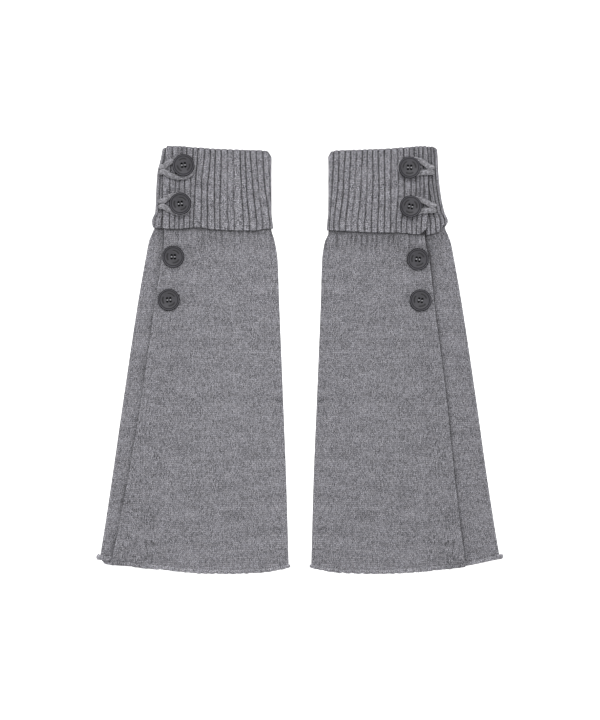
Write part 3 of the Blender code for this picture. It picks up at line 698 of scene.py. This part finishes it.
ribs = {
    "crest": 0.5, "valley": -0.75, "squareness": 0.28, "size": 6.0, "sway": 0.28, "swayLength": 9,
    "grooveShade": 1.14, "grooveWidth": 0.58, "grooveUneven": (0.5, 1.2), "deepShade": 0.3, "deepWidth": 14.0,
    "wavyShade": 0.45, "castOnTone": 0.06, "edgeShade": 0.85, "edgeSpread": 1.2, "edgeFoot": 1.2,
    "measuredAt": (136.5, 171, 203), "backRibs": 19, "cornerY": 130.0, "cornerReach": 4.2,
    "steps": (0, 0.05, 0.11, 0.2, 0.33, 0.5, 0.67, 0.8, 0.89, 0.95),
    "edgeSteps": (0, 0.015, 0.04, 0.08, 0.13, 0.2, 0.33, 0.5, 0.67, 0.8, 0.89, 0.95),
}
ribKnit = {
    **anyKnit, "wale": 2.0, "course": 1.8, "seed": 2.0, "wander": 1.4, "cavityShade": 1.0, "relief": 0.25,
    "warm": (0.156, 0.152, 0.163), "cool": (0.149, 0.148, 0.166), "streak": (0.4, 0.12, 1.0),
    "blotch": (0.06, 0.1, 1.0), "blotchTone": 0.3, "fibre": (1.12, 1.05, 1.0), "fibreTone": 4.8,
    "waleStreak": (0.9, 0.1, 2.0), "waleTone": 1.0,
}


def girth(leg, y):
    # how far round the cuff each zone starts, at its outer face
    p = pathFacts(leg, "cuff", y)
    starts = [p["frontEdge"], p["stepX"], p["stepX"] + p["ramp"], p["plainX"]]
    starts.append(starts[3] + math.pi * (p["plainTurn"] + cuffOut))
    starts.append(starts[4] + p["plainX"] - p["lapX"])
    starts.append(starts[5] + math.pi * (p["lapTurn"] + cuffOut))
    starts.append(starts[6] + p["underEdge"] - p["lapX"])
    return starts, p["plainTurn"] + cuffOut


def zoneAt(starts, around):
    zone = sum((around > start).astype(int) for start in starts[1:7])
    low = np.choose(zone, starts[:7])
    high = np.choose(zone, starts[1:8])
    return np.clip(zone + (around - low) / (high - low), 0, 7)


def cuffY(leg, u, s):
    turn = form["turnPitch"] / 2
    x, _, outX, _ = wallPath(leg, "cuff", u, form["topY"])
    top = edgeAt(cuffTop, x + outX * cuffOut) - turn - form["ribWall"] / 2 - form["ribHeight"]
    x, _, outX, _ = wallPath(leg, "cuff", u, form["seamY"])
    x = x + outX * cuffOut
    bottom = edgeAt(leg["cuffEdge"], x)
    bottom = np.where(u <= lapFold, bottom, mix(bottom, edgeAt(leg["lapEdge"], x), ease(u - lapFold)))
    # the lap's lower corner is drawn up
    fronts = sorted((row[0], row[2]) for row in leg["cuff"])
    fromFront = x - curveAt(*zip(*fronts), ribs["cornerY"])
    corner = np.square(np.clip(1 - fromFront / ribs["cornerReach"], 0, 1))
    bottom = bottom + np.where(u < rampZone, leg["cuffCorner"] * corner, 0)
    inner = mix(form["seamY"] + form["gap"], top, np.minimum(s, 1))
    return np.where(s > 2, mix(top, bottom, s - 2), inner), top, bottom


def grooveLines(leg):
    # each groove as a function of girth's starts and y, in the order they are knitted
    def measured(groove):
        def line(starts, radius, y):
            x = curveAt(ribs["measuredAt"], groove[::-1], y)
            past = np.arcsin(np.clip((x - starts[3]) / radius, 0, 1))
            return np.where(x > starts[3], starts[3] + radius * past, x)
        return line

    def between(k, share):
        return lambda starts, radius, y: mix(starts[k], starts[k + 1], share)

    lines = [between(lapZone, 0)] + [measured(groove) for groove in leg["grooves"]]
    lines += [between(plainFold, share) for share in (0.6, 1)]
    lines += [between(backZone, k / ribs["backRibs"]) for k in range(1, ribs["backRibs"] + 1)]
    lines += [between(lapFold, share) for share in (0.5, 1)]
    return lines + [between(underZone, share) for share in (*leg["strip"], 1)]


def cuffColumns(count):
    # each column's rib and its share of the way across it, closest at the grooves and cut edges
    columns = []
    for k in range(count):
        steps = ribs["edgeSteps"] if k == 0 else ribs["steps"]
        if k == count - 1:
            steps = [0] + [1 - step for step in ribs["edgeSteps"][:0:-1]]
        columns += [(k, step) for step in steps]
    columns.append((count - 1, 1.0))
    return np.array([k for k, _ in columns]), np.array([step for _, step in columns])


def makeCuff(name, leg):
    rng = np.random.default_rng(leg["seed"] + 40)
    lines = grooveLines(leg)
    count = len(lines) - 1
    rib, share = cuffColumns(count)
    # s runs up the inside, from 1 round the fold and from 2 down the outside
    rows = [0, 0.006, 0.1, 0.25, 0.4, 0.55, 0.7, 0.85] + [1 + k / 14 for k in range(14)]
    firstOuter = len(rows)
    rows += [2 + d for d in spaced(0, 0.97, 0.0145)] + [2.97, 2.98, 2.987, 2.992, 2.996, 2.999, 3.0]
    share, s = np.meshgrid(share, rows)
    rib = np.broadcast_to(rib, s.shape)
    u = np.broadcast_to(np.linspace(0, 7, s.shape[1]), s.shape)
    ribWobble = rng.uniform(-1, 1, (count + 1, 2))
    for _ in range(4):  # u and y depend on each other, and settle
        y, top, bottom = cuffY(leg, u, s)
        mapped = np.where(s < 2, top, y)
        starts, radius = girth(leg, mapped)
        ends = np.stack([line(starts, radius, mapped) for line in lines])
        phase = mapped / ribs["swayLength"] + ribWobble[:, :1, None] * 3
        sway = ribs["sway"] * np.sin(phase) * ribWobble[:, 1:, None]
        sway[0], sway[-1] = 0, 0
        ends = ends + sway
        low = np.take_along_axis(ends, rib[None], 0)[0]
        high = np.take_along_axis(ends, rib[None] + 1, 0)[0]
        around = mix(low, high, share)
        u = zoneAt(starts, around)

    half = form["ribWall"] / 2
    facts = pathFacts(leg, "cuff", mapped)
    fromEdge = np.minimum(around - starts[0], starts[7] - around)
    lengthDown = (3 - s) * (top - bottom)
    left = np.minimum(np.minimum(fromEdge, lengthDown), s * (top - form["seamY"]))
    kept = rounded(left, half)

    # the ribs' relief, flat at the two cut edges and only sunk on the back
    profile = np.sin(math.pi * np.clip(share, 0, 1)) ** ribs["squareness"]
    atEdge = ((rib == 0) & (share < 0.5)) | ((rib == count - 1) & (share > 0.5))
    profile = np.where(atEdge, 1, profile)
    onBack = ease((u - plainFold - 0.65) / 0.35) * ease((lapFold + 0.35 - u) / 0.35)
    crest = mix(ribs["crest"], 0, onBack)
    depth = 1 + 0.16 * ribWobble[:, 0][rib] + 0.12 * waves(rng, around, mapped * 0.5, 5, 9, 30)
    full = crest - 0.08 * (1 - onBack) * (1 + waves(rng, around, mapped * 0.6, 6, 7, 24))
    relief = full - (crest - ribs["valley"]) * (1 - profile) * depth
    relief = relief * ease((s - 1) / 0.25) * mix(1.0, 0.75, ease((2.2 - lengthDown) / 2.2))
    angle = math.pi * np.clip(s - 1, 0, 1)
    path = wallPath(leg, "cuff", u, y)
    skins = [
        toWorld(leg, *rolled(path, y, 1, form["turnPitch"] / 2, angle, offset * kept))
        for offset in (-(half + relief), half)
    ]
    down = np.where(s > 2, 70 + top - y, np.where(s > 1, 64 + 6 * (s - 1), 64 * s))
    uv = np.stack([(rib + share) * ribs["size"] + ribKnit["wale"] / 2, down], axis=-1)

    # painted shade of uneven darkness in the grooves, the cast-on edge, and the painted shade of the lap on the
    # strip beside it
    nearest = np.minimum(share, 1 - share) * (high - low) + 3 * atEdge
    strong = rng.uniform(*ribs["grooveUneven"], count + 1)[np.where(share < 0.5, rib, rib + 1)]
    strong = strong + ribs["deepShade"] * hump((around - leg["deepGroove"]) / ribs["deepWidth"])
    strong = strong + ribs["wavyShade"] * waves(rng, around * 0.9, mapped, 6, 8, 45)
    groove = np.clip(ribs["grooveShade"] * strong, 0, 0.95) * hump(nearest / ribs["grooveWidth"])
    groove = groove * ease((s - 1) / 0.3)
    tone = (1 - groove) * (1 + ribs["castOnTone"] * ease((3.2 - lengthDown) / 1.2))
    # painted shadow under the buttons
    tone = tone * np.where(s > 2, shadeUnderButtons(leg, path[0], y), 1)
    plain = np.ones_like(tone)
    behind = (rib >= count - len(leg["strip"]) - 1) & (s > 2)
    edgeGap = starts[7] - around + facts["frontEdge"] - facts["underEdge"]
    edgeSpread = ribs["edgeSpread"] * (1 + ribs["edgeFoot"] * ease(1 - lengthDown / 9))
    marks = {
        "tone": (tone, plain),
        "crisp": plain,
        "gap": (np.where(behind, edgeGap / edgeSpread, farOff), farOff * plain),
        "gapShade": (np.where(behind, ribs["edgeShade"], 0.0), 0 * plain),
    }
    reverseRows = [*range(firstOuter), *range(firstOuter, len(rows) - 7, 4)]
    reverseRows += [len(rows) - back for back in (6, 4, 1)]
    return wallMesh(name, skins[0], skins[1], reverseRows, uv, marks)


jerseyFinish = knitFinish("grey_marl_jersey", jersey)
ribFinish = knitFinish("grey_marl_rib", ribKnit)
for side, leg in legs.items():
    name = f"knit_body_{side}"
    body = place(name, makeBody(name, leg), jerseyFinish, f"body_{side}")
    name = f"knit_cuff_{side}"
    cuff = place(name, makeCuff(name, leg), ribFinish, f"cuff_{side}")
    print(side, "body faces", len(body.data.polygons), "cuff faces", len(cuff.data.polygons))


button = {
    "radius": 11.0, "segments": 96, "colour": (0.032, 0.031, 0.036), "roughness": 0.5,
    "faceGloss": 0.28, "edgeGloss": 0.03, "edgeRadius": 10.22, "sharpFrom": 42,
    "holeRadius": 1.22, "holeSpacing": 3.2, "holeDish": 0.3, "holeDishReach": 1.15, "holeShade": 0.95,
    "holeWithin": 3.6, "holeBelow": 2.1, "cutAbove": 1.9,
    "arcMiddles": (30, 150, 270), "arcRadius": 6.1, "arcWidth": 0.62, "arcDepth": 0.42, "arcSpan": 30,
    "arcShade": 0.75, "grooveRadius": 8.95, "grooveWidth": 0.34, "grooveShade": 0.45,
    "rimShade": 0.95, "rimFrom": 10.15, "rimSoft": 0.3, "rimHighlight": 0.75, "paleRadius": 9.75, "paleWidth": 0.42,
}
# radius and height of the button's face and back
buttonFace = [(0, 2.32), (1, 2.32), (2, 2.33), (3, 2.37), (4.4, 2.46), (6, 2.62), (7.4, 2.8), (8.2, 2.93),
              (8.5, 2.9), (8.8, 2.55), (9.05, 2.25), (9.2, 2.25), (9.45, 2.62), (9.7, 2.98), (9.95, 3.12),
              (10.2, 3.08), (10.5, 2.82)]
buttonBack = [(10.72, 2.45), (10.86, 1.95), (10.9, 1.45), (10.8, 0.9), (10.5, 0.42), (10.0, 0.12),
              (9.4, 0.0), (6, 0.0), (3, 0.0)]
faceRings = [r * 0.5 for r in range(1, 8)] + [4.0, 4.6, 5.2] + [5.6 + 0.2 * k for k in range(12)]
faceRings += [8.2, 8.4, 8.55, 8.7, 8.8, 8.92, 9.05, 9.15, 9.25, 9.38, 9.5, 9.62, 9.75, 9.88, 10.0, 10.13,
              10.26, 10.4, 10.5]
holeCorners = [(dx, dy) for dx in (-1, 1) for dy in (-1, 1)]


def arcShare(r, angle):
    # three plain cut arcs, 1 in the middle of an arc
    share = 0.0
    for middle in button["arcMiddles"]:
        turned = (math.degrees(angle) - middle) % 360
        turned = min(turned, 360 - turned)
        beyond = max(0.0, turned - button["arcSpan"]) * math.radians(1) * button["arcRadius"]
        share += math.exp(-((math.hypot(r - button["arcRadius"], beyond) / button["arcWidth"]) ** 4))
    return share


def faceHeight(r, angle):
    faceR, faceZ = zip(*buttonFace)
    height = float(curveAt(faceR, faceZ, r)) - button["arcDepth"] * arcShare(r, angle)
    for dx, dy in holeCorners:
        away = math.hypot(r * math.cos(angle) - dx * button["holeSpacing"] / 2,
                          r * math.sin(angle) - dy * button["holeSpacing"] / 2)
        height -= button["holeDish"] * math.exp(-((away / button["holeDishReach"]) ** 4))
    return height


def buttonDisc():
    count = button["segments"]
    angles = np.arange(count) * math.tau / count
    points, faces = [(0, 0, buttonFace[0][1])], []
    for r in faceRings:
        points += [(r * math.cos(a), r * math.sin(a), faceHeight(r, a)) for a in angles]
    for r, z in buttonBack:
        points += [(r * math.cos(a), r * math.sin(a), z) for a in angles]
    for k in range(count):
        faces.append((0, 1 + k, 1 + (k + 1) % count))
    last = len(points) - count
    for start in range(1, last, count):
        for k in range(count):
            a, b = start + k, start + (k + 1) % count
            faces.append((a, a + count, b + count, b))
    points.append((0, 0, 0))
    faces += [(last + (k + 1) % count, last + k, len(points) - 1) for k in range(count)]
    mesh = bpy.data.meshes.new("button_disc")
    mesh.from_pydata([tuple(c * 0.001 for c in p) for p in points], [], faces)
    return newObject("button_disc", mesh)


def buttonPins():
    pins = bmesh.new()
    radius = button["holeRadius"] * 0.001
    for dx, dy in holeCorners:
        pin = bmesh.ops.create_cone(pins, cap_ends=True, segments=24, radius1=radius, radius2=radius, depth=0.01)
        aside = Vector((dx, dy, 0)) * button["holeSpacing"] * 0.0005
        bmesh.ops.translate(pins, verts=pin["verts"], vec=aside)
    mesh = bpy.data.meshes.new("button_pins")
    pins.to_mesh(mesh)
    pins.free()
    return newObject("button_pins", mesh)


def buttonShading(x, y, z):
    # painted shade in the cut lines, the holes and on the rim's turn, and a painted highlight on the top of the
    # rim
    r = math.hypot(x, y)
    onFace = z > button["cutAbove"]
    line = math.exp(-(((r - button["grooveRadius"]) / button["grooveWidth"]) ** 2)) * onFace
    arc = arcShare(r, math.atan2(y, x)) * onFace
    highlight = math.exp(-(((r - button["paleRadius"]) / button["paleWidth"]) ** 4))
    rim = min(1.0, max(0.0, (r - button["rimFrom"]) / button["rimSoft"])) - button["rimHighlight"] * highlight
    inHole = r < button["holeWithin"] and z < button["holeBelow"]
    return ((1 - button["grooveShade"] * line) * (1 - button["arcShade"] * arc) * (1 - button["rimShade"] * rim)
            * (1 - button["holeShade"] * inHole))


def buttonMesh():
    disc, pins = buttonDisc(), buttonPins()
    holes = disc.modifiers.new("holes", "BOOLEAN")
    holes.operation, holes.solver, holes.object = "DIFFERENCE", "EXACT", pins
    made = bpy.data.meshes.new_from_object(disc.evaluated_get(bpy.context.evaluated_depsgraph_get()))
    bpy.data.objects.remove(disc)
    bpy.data.objects.remove(pins)
    faceOutward(made)
    made.set_sharp_from_angle(angle=math.radians(button["sharpFrom"]))
    made.name = "button_turned"
    mark(made, "tone", [buttonShading(*(vertex.co * 1000)) for vertex in made.vertices])
    for face in made.polygons:  # the turned edge is duller than the face
        face.material_index = int(math.hypot(face.center.x, face.center.y) > button["edgeRadius"] * 0.001)
    return made


def buttonFinish(name, gloss):
    finish = Finish(name)
    where = finish.add("TexCoord", {}, out=3)
    cloud = finish.noise(where, 150.0, 3.0, 0.6)
    speck = finish.noise(where, 2200.0, 2.0, 0.6)
    shade = (cloud - 0.5) * 0.9 + (speck - 0.5) * 0.3 + 1.0
    bump = finish.add("Bump", {}, {"Strength": 0.5, "Distance": 0.00006, "Height": speck})
    shader = finish.add("BsdfPrincipled", {}, {
        "Base Color": finish.scaled(button["colour"], shade * finish.mark("tone")),
        "Roughness": cloud * 0.2 + (button["roughness"] - 0.1),
        "Normal": bump,
        "Specular IOR Level": gloss,
    })
    return finish.close(shader)


def cuffSurface():
    return bandStack[2] + cuffOut


def bodySurface(leg, y):
    y = np.asarray(float(y))
    drop = lowestCuff(leg) - 1 - y
    gather = form["gatherHeight"] * ease((drop + 2) / 3) * ease(1 - drop / form["gatherLength"])
    return float(layerHeights(leg, "body", y)[2] + form["jerseyWall"] / 2 + gather)


def seat(leg, spot):
    # the height of a button's back and its tilt, on the loop's cord or on the body
    x, y, tiltX, tiltY = spot[:4]
    tiltX, tiltY = math.radians(tiltX), math.radians(tiltY)
    radius = button["radius"]
    if y > form["seamY"]:
        raised = radius * (abs(math.sin(tiltX)) + abs(math.sin(tiltY)))
        return cuffSurface() + 2 * cord["radius"] + 2 * form["gap"] + raised, tiltX, tiltY
    tiltX = math.atan2(bodySurface(leg, y + radius) - bodySurface(leg, y - radius), 2 * radius)
    across = [k / 10 * radius for k in range(-10, 11)]
    rest = max(bodySurface(leg, y + dy) - dy * math.tan(tiltX) for dy in across)
    return rest + form["gap"], tiltX, 0.0


cord = {"radius": 2.2, "bend": 3.0, "wales": 6, "course": 1.9, "relief": 0.5, "spread": 0.16, "around": 42,
        "step": 0.26}
cordKnit = {
    **anyKnit, "wale": 2.304, "course": 1.9, "seed": 5.0, "wander": 0.4, "cavityShade": 0.8, "relief": 0.15,
    "roughness": 0.9, "sheen": 0.15, "warm": (0.165, 0.161, 0.171), "cool": (0.158, 0.157, 0.173),
    "stitchTone": 0.9, "streakTone": 0.4, "streak": (0.5, 0.5, 1.0), "blotch": (0.2, 0.2, 1.0),
    "blotchTone": 0.3, "fibre": (0.9, 0.9, 1.0), "fibreTone": 1.5,
}
thread = {
    "radius": 0.24, "colour": (0.34, 0.34, 0.36), "bars": 2, "barPitch": 1.8, "arch": 0.22, "past": 0.12,
    "rise": ((0.7, 0.1, -0.1), (0.8, 0.0, 1.4)), "shoulder": (0.12, 0.15), "neck": 0.95, "wound": 0.12,
    "windPitch": 0.42,
}


def smoothRoute(points, step):
    points = [Vector(p) for p in points]
    points = [2 * points[0] - points[1], *points, 2 * points[-1] - points[-2]]
    made = []
    for before, a, b, after in zip(points, points[1:], points[2:], points[3:]):
        count = max(1, math.ceil((b - a).length / step))
        for k in range(count):
            t = k / count
            made.append(0.5 * (2 * a + (b - before) * t + (2 * before - 5 * a + 4 * b - after) * t ** 2
                               + (3 * a - before - 3 * b + after) * t ** 3))
    return made + [points[-2]]


def tube(route, radius, around, relief=None, spread=0.0):
    # a closed tube round a route: rings of points, with a point at each end
    route = np.array([tuple(p) for p in route])
    tangent = np.gradient(route, axis=0)
    tangent /= np.linalg.norm(tangent, axis=1)[:, None]
    normal = np.cross(tangent[0], (0.0, 0.0, 1.0) if abs(tangent[0][2]) < 0.9 else (1.0, 0.0, 0.0))
    length = np.concatenate([[0], np.cumsum(np.linalg.norm(np.diff(route, axis=0), axis=1))])
    angles = np.arange(around) * math.tau / around
    rings, flat = [], []
    for k in range(len(route)):
        normal = normal - tangent[k] * normal.dot(tangent[k])
        normal /= np.linalg.norm(normal)
        side = np.cross(tangent[k], normal)
        end = min(length[k], length[-1] - length[k])
        size = radius * float(rounded(end + radius * 0.04, radius))
        reach = size + (relief(angles, length[k]) * min(1, end / radius) if relief else 0 * angles)
        ring = np.outer(np.cos(angles) * reach, normal) + np.outer(np.sin(angles) * reach, side)
        aside = np.array([-tangent[k][1], tangent[k][0], 0.0])  # a soft cord spreads where it lies flat
        ring = ring + spread * np.outer(ring @ aside, aside)
        rings.append(route[k] + ring)
        flat.append(np.stack([angles / math.tau, np.full(around, length[k])], axis=-1))
    return route, np.array(rings), np.array(flat), length


def tubeFaces(rings, start, around, ends):
    faces = []
    for r in range(rings - 1):
        for k in range(around):
            a, b = start + r * around + k, start + r * around + (k + 1) % around
            faces.append((a, b, b + around, a + around))
    last = start + (rings - 1) * around
    for k in range(around):
        faces.append((start + (k + 1) % around, start + k, ends[0]))
        faces.append((last + k, last + (k + 1) % around, ends[1]))
    return faces


def tubesMesh(name, tubes, uvWidth=1.0):
    points, faces, flats = [], [], []
    for route, rings, flat, length in tubes:
        start = len(points)
        points += rings.reshape(-1, 3).tolist() + [route[0].tolist(), route[-1].tolist()]
        flats += flat.reshape(-1, 2).tolist() + [[0.5, 0.0], [0.5, float(length[-1])]]
        faces += tubeFaces(rings.shape[0], start, rings.shape[1], (len(points) - 2, len(points) - 1))
    mesh = bpy.data.meshes.new(name)
    mesh.from_pydata(points, [], faces)
    flats = np.array(flats)[cornerPoints(mesh)]
    # close the seam of the unrolled tube, face by face
    starts = np.empty(len(mesh.polygons), int)
    mesh.polygons.foreach_get("loop_start", starts)
    for first, last in zip(starts, np.append(starts[1:], len(flats))):
        part = flats[first:last, 0]
        if part.max() - part.min() > 0.5:
            part[part < 0.5] += 1
    flats[:, 0] *= uvWidth
    layKnit(mesh, flats)
    for key, value in (("tone", 1.0), ("reverse", 0.0), ("gap", farOff), ("gapShade", 0.0)):
        mark(mesh, key, np.full(len(points), value))
    faceOutward(mesh)
    mesh.transform(toMetres)
    return mesh


def loopRoute(leg, loop):
    which, anchorX, anchorY, spread, nearLow, nearHigh, low, high = loop
    x, y = leg["buttons"][which][:2]
    top = cuffSurface() + form["gap"] + cord["radius"]
    foot = bandStack[1] + cuffOut + form["gap"]
    route = []
    for way, near, far in ((-1, nearLow, low), (1, nearHigh, high)):
        at = anchorY + way * spread / 2
        strand = [(anchorX, at, foot)]
        for angle in (0, math.pi / 6, math.pi / 3, math.pi / 2):
            drop = cord["bend"] * (1 - math.sin(angle))
            strand.append((anchorX + cord["bend"] * (1 - math.cos(angle)), at, top - drop))
        strand += [(x - 11, y + near, top), (x - 2, y + far, top), (x + 6, y + 0.75 * far, top)]
        route += strand if way < 0 else [(x + 9, y, top)] + strand[::-1]
    return route


def loopMesh(name, leg, loop):
    def stitches(angles, length):
        wale = angles / math.tau * cord["wales"]
        part = wale - np.floor(wale)
        away = np.abs(part - 0.5) * 2
        rise = (length / cord["course"] + away * cordKnit["slant"]) % 1
        along = 0.45 + 0.55 * (1 - (2 * rise - 1) ** 2)
        return cord["relief"] * ((1 - (2 * away - 1) ** 2) * along - 0.55)

    route = smoothRoute(smoothRoute(loopRoute(leg, loop), 4.5), cord["step"])
    route = [tuple(toWorld(leg, *p) * 1000) for p in route]
    made = tube(route, cord["radius"], cord["around"], stitches, cord["spread"])
    return tubesMesh(name, [made], cord["wales"] * cordKnit["wale"]), made[3][-1]


def threadMesh(name, fall):
    # two bars of thread over the holes, and the wound neck down to the cloth
    half = button["holeSpacing"] / 2
    reach = half - button["holeRadius"] + thread["past"]
    top = buttonFace[0][1] + thread["arch"]
    nearer, lower = thread["shoulder"]
    rise = [(share, reach + out, z) for share, out, z in thread["rise"]] + [(1, reach - nearer, top - lower)]
    tubes = []
    for x in (-half, half):
        for k in range(thread["bars"]):
            aside = (k - (thread["bars"] - 1) / 2) * thread["radius"] * thread["barPitch"]
            bar = [(x + aside * share, -out, z) for share, out, z in rise] + [(x + aside, 0, top + 0.02 * k)]
            bar += [(x + aside * share, out, z) for share, out, z in rise[::-1]]
            tubes.append(tube(smoothRoute(bar, 0.22), thread["radius"], 8))
    if fall > 1.5:
        def winding(angles, length):
            return thread["wound"] * np.sin(math.tau * length / thread["windPitch"] + angles)
        neck = smoothRoute([(0, 0, 0.3), (0, 0, -fall / 2), (0, 0, -fall - 0.4)], 0.1)
        tubes.append(tube(neck, thread["neck"], 20, winding))
    return tubesMesh(name, tubes)


def threadFinish():
    finish = Finish("pale_thread")
    uv = finish.add("UVMap", {"uv_map": "knit"})
    along = finish.add("SeparateXYZ", {}, {0: uv}, out=1)
    across = finish.add("SeparateXYZ", {}, {0: uv}, out=0)
    ply = (along * 9.0 + across * math.tau).maths("SINE") * 0.5 + 0.5
    bump = finish.add("Bump", {}, {"Strength": 1.0, "Distance": 0.00008, "Height": ply})
    shader = finish.add("BsdfPrincipled", {}, {
        # painted shade in the hollows between the plies
        "Base Color": finish.scaled(thread["colour"], ply * 0.35 + 0.75),
        "Roughness": ply * 0.1 + 0.65,
        "Normal": bump,
        "Sheen Weight": 0.1,
    })
    return finish.close(shader)


disc = buttonMesh()
plastic, paleThread = buttonFinish("charcoal_button", button["faceGloss"]), threadFinish()
loopFinish = knitFinish("loop_cord_knit", cordKnit)
disc.materials.append(plastic)
disc.materials.append(buttonFinish("button_edge", button["edgeGloss"]))
print("button faces", len(disc.polygons))
for side, leg in legs.items():
    for k, spot in enumerate(leg["buttons"], 1):
        x, y, _, _, quarters, spin = spot
        height, tiltX, tiltY = seat(leg, spot)
        fall = height - cuffSurface() if y > form["seamY"] else form["gap"] + 0.3
        tilted = Euler((tiltX, -leg["side"] * tiltY, 0)).to_matrix()
        turned = place(f"turned_button_{side}_{k}", disc, plastic, f"button_{side}_{k}")
        name = f"button_thread_{side}_{k}"
        sewing = place(name, threadMesh(name, fall), paleThread)
        for made, quarter in ((turned, quarters), (sewing, 0)):
            made.location = Vector(toWorld(leg, x, y, height))
            about = Euler((0, 0, math.radians(spin) + quarter * math.pi / 2)).to_matrix()
            made.rotation_euler = (tilted @ about).to_euler()
    for k, loop in enumerate(leg["loops"], 1):
        mesh, length = loopMesh(f"knit_loop_{side}_{k}", leg, loop)
        place(f"knit_loop_{side}_{k}", mesh, loopFinish, f"loop_{side}_{k}")
        print(side, "loop", k, "length", round(float(length), 1), "mm, faces", len(mesh.polygons))


studio = {
    "floor": 0.92, "floorGlow": 0.5, "floorDrop": 0.0004, "ambient": 0.98,
    "keyPower": 16.0, "keySize": 0.8, "keyFrom": (0.0, 0.75, 1.35),
    "fillPower": 6.0, "fillSize": 1.0, "fillFrom": (0.0, -1.1, 1.5),
    "cameraAt": (0.00025, -0.0005, 1.704), "lens": 85.0,
}


def makeFloor():
    grid = bmesh.new()
    bmesh.ops.create_grid(grid, x_segments=24, y_segments=24, size=4)
    mesh = bpy.data.meshes.new("floor")
    grid.to_mesh(mesh)
    grid.free()
    floor = newObject("floor", mesh)
    floor.location.z = -studio["floorDrop"]
    finish = Finish("pale_floor")
    shader = finish.add("BsdfPrincipled", {}, {
        "Base Color": (studio["floor"],) * 3 + (1,), "Roughness": 0.9, "Specular IOR Level": 0.1,
        "Emission Color": (1, 1, 1, 1), "Emission Strength": studio["floorGlow"],
    })
    mesh.materials.append(finish.close(shader))


def areaLight(name):
    data = bpy.data.lights.new(name, "AREA")
    data.energy, data.size, data.shape = studio[name + "Power"], studio[name + "Size"], "DISK"
    lamp = newObject(name, data)
    lamp.location = studio[name + "From"]
    lamp.rotation_euler = (-Vector(studio[name + "From"])).to_track_quat("-Z", "Y").to_euler()


makeFloor()
areaLight("key")
areaLight("fill")
world = bpy.data.worlds.new("studio")
world.use_nodes = True
world.node_tree.nodes["Background"].inputs["Color"].default_value = (1, 1, 1, 1)
world.node_tree.nodes["Background"].inputs["Strength"].default_value = studio["ambient"]
bpy.context.scene.world = world
bpy.context.scene.view_settings.view_transform = "Standard"

cameraData = bpy.data.cameras.new("camera")
cameraData.lens, cameraData.sensor_fit, cameraData.sensor_height = studio["lens"], "VERTICAL", 36
camera = newObject("camera", cameraData)
camera.location = studio["cameraAt"]
bpy.context.scene.camera = camera
print("studio set")
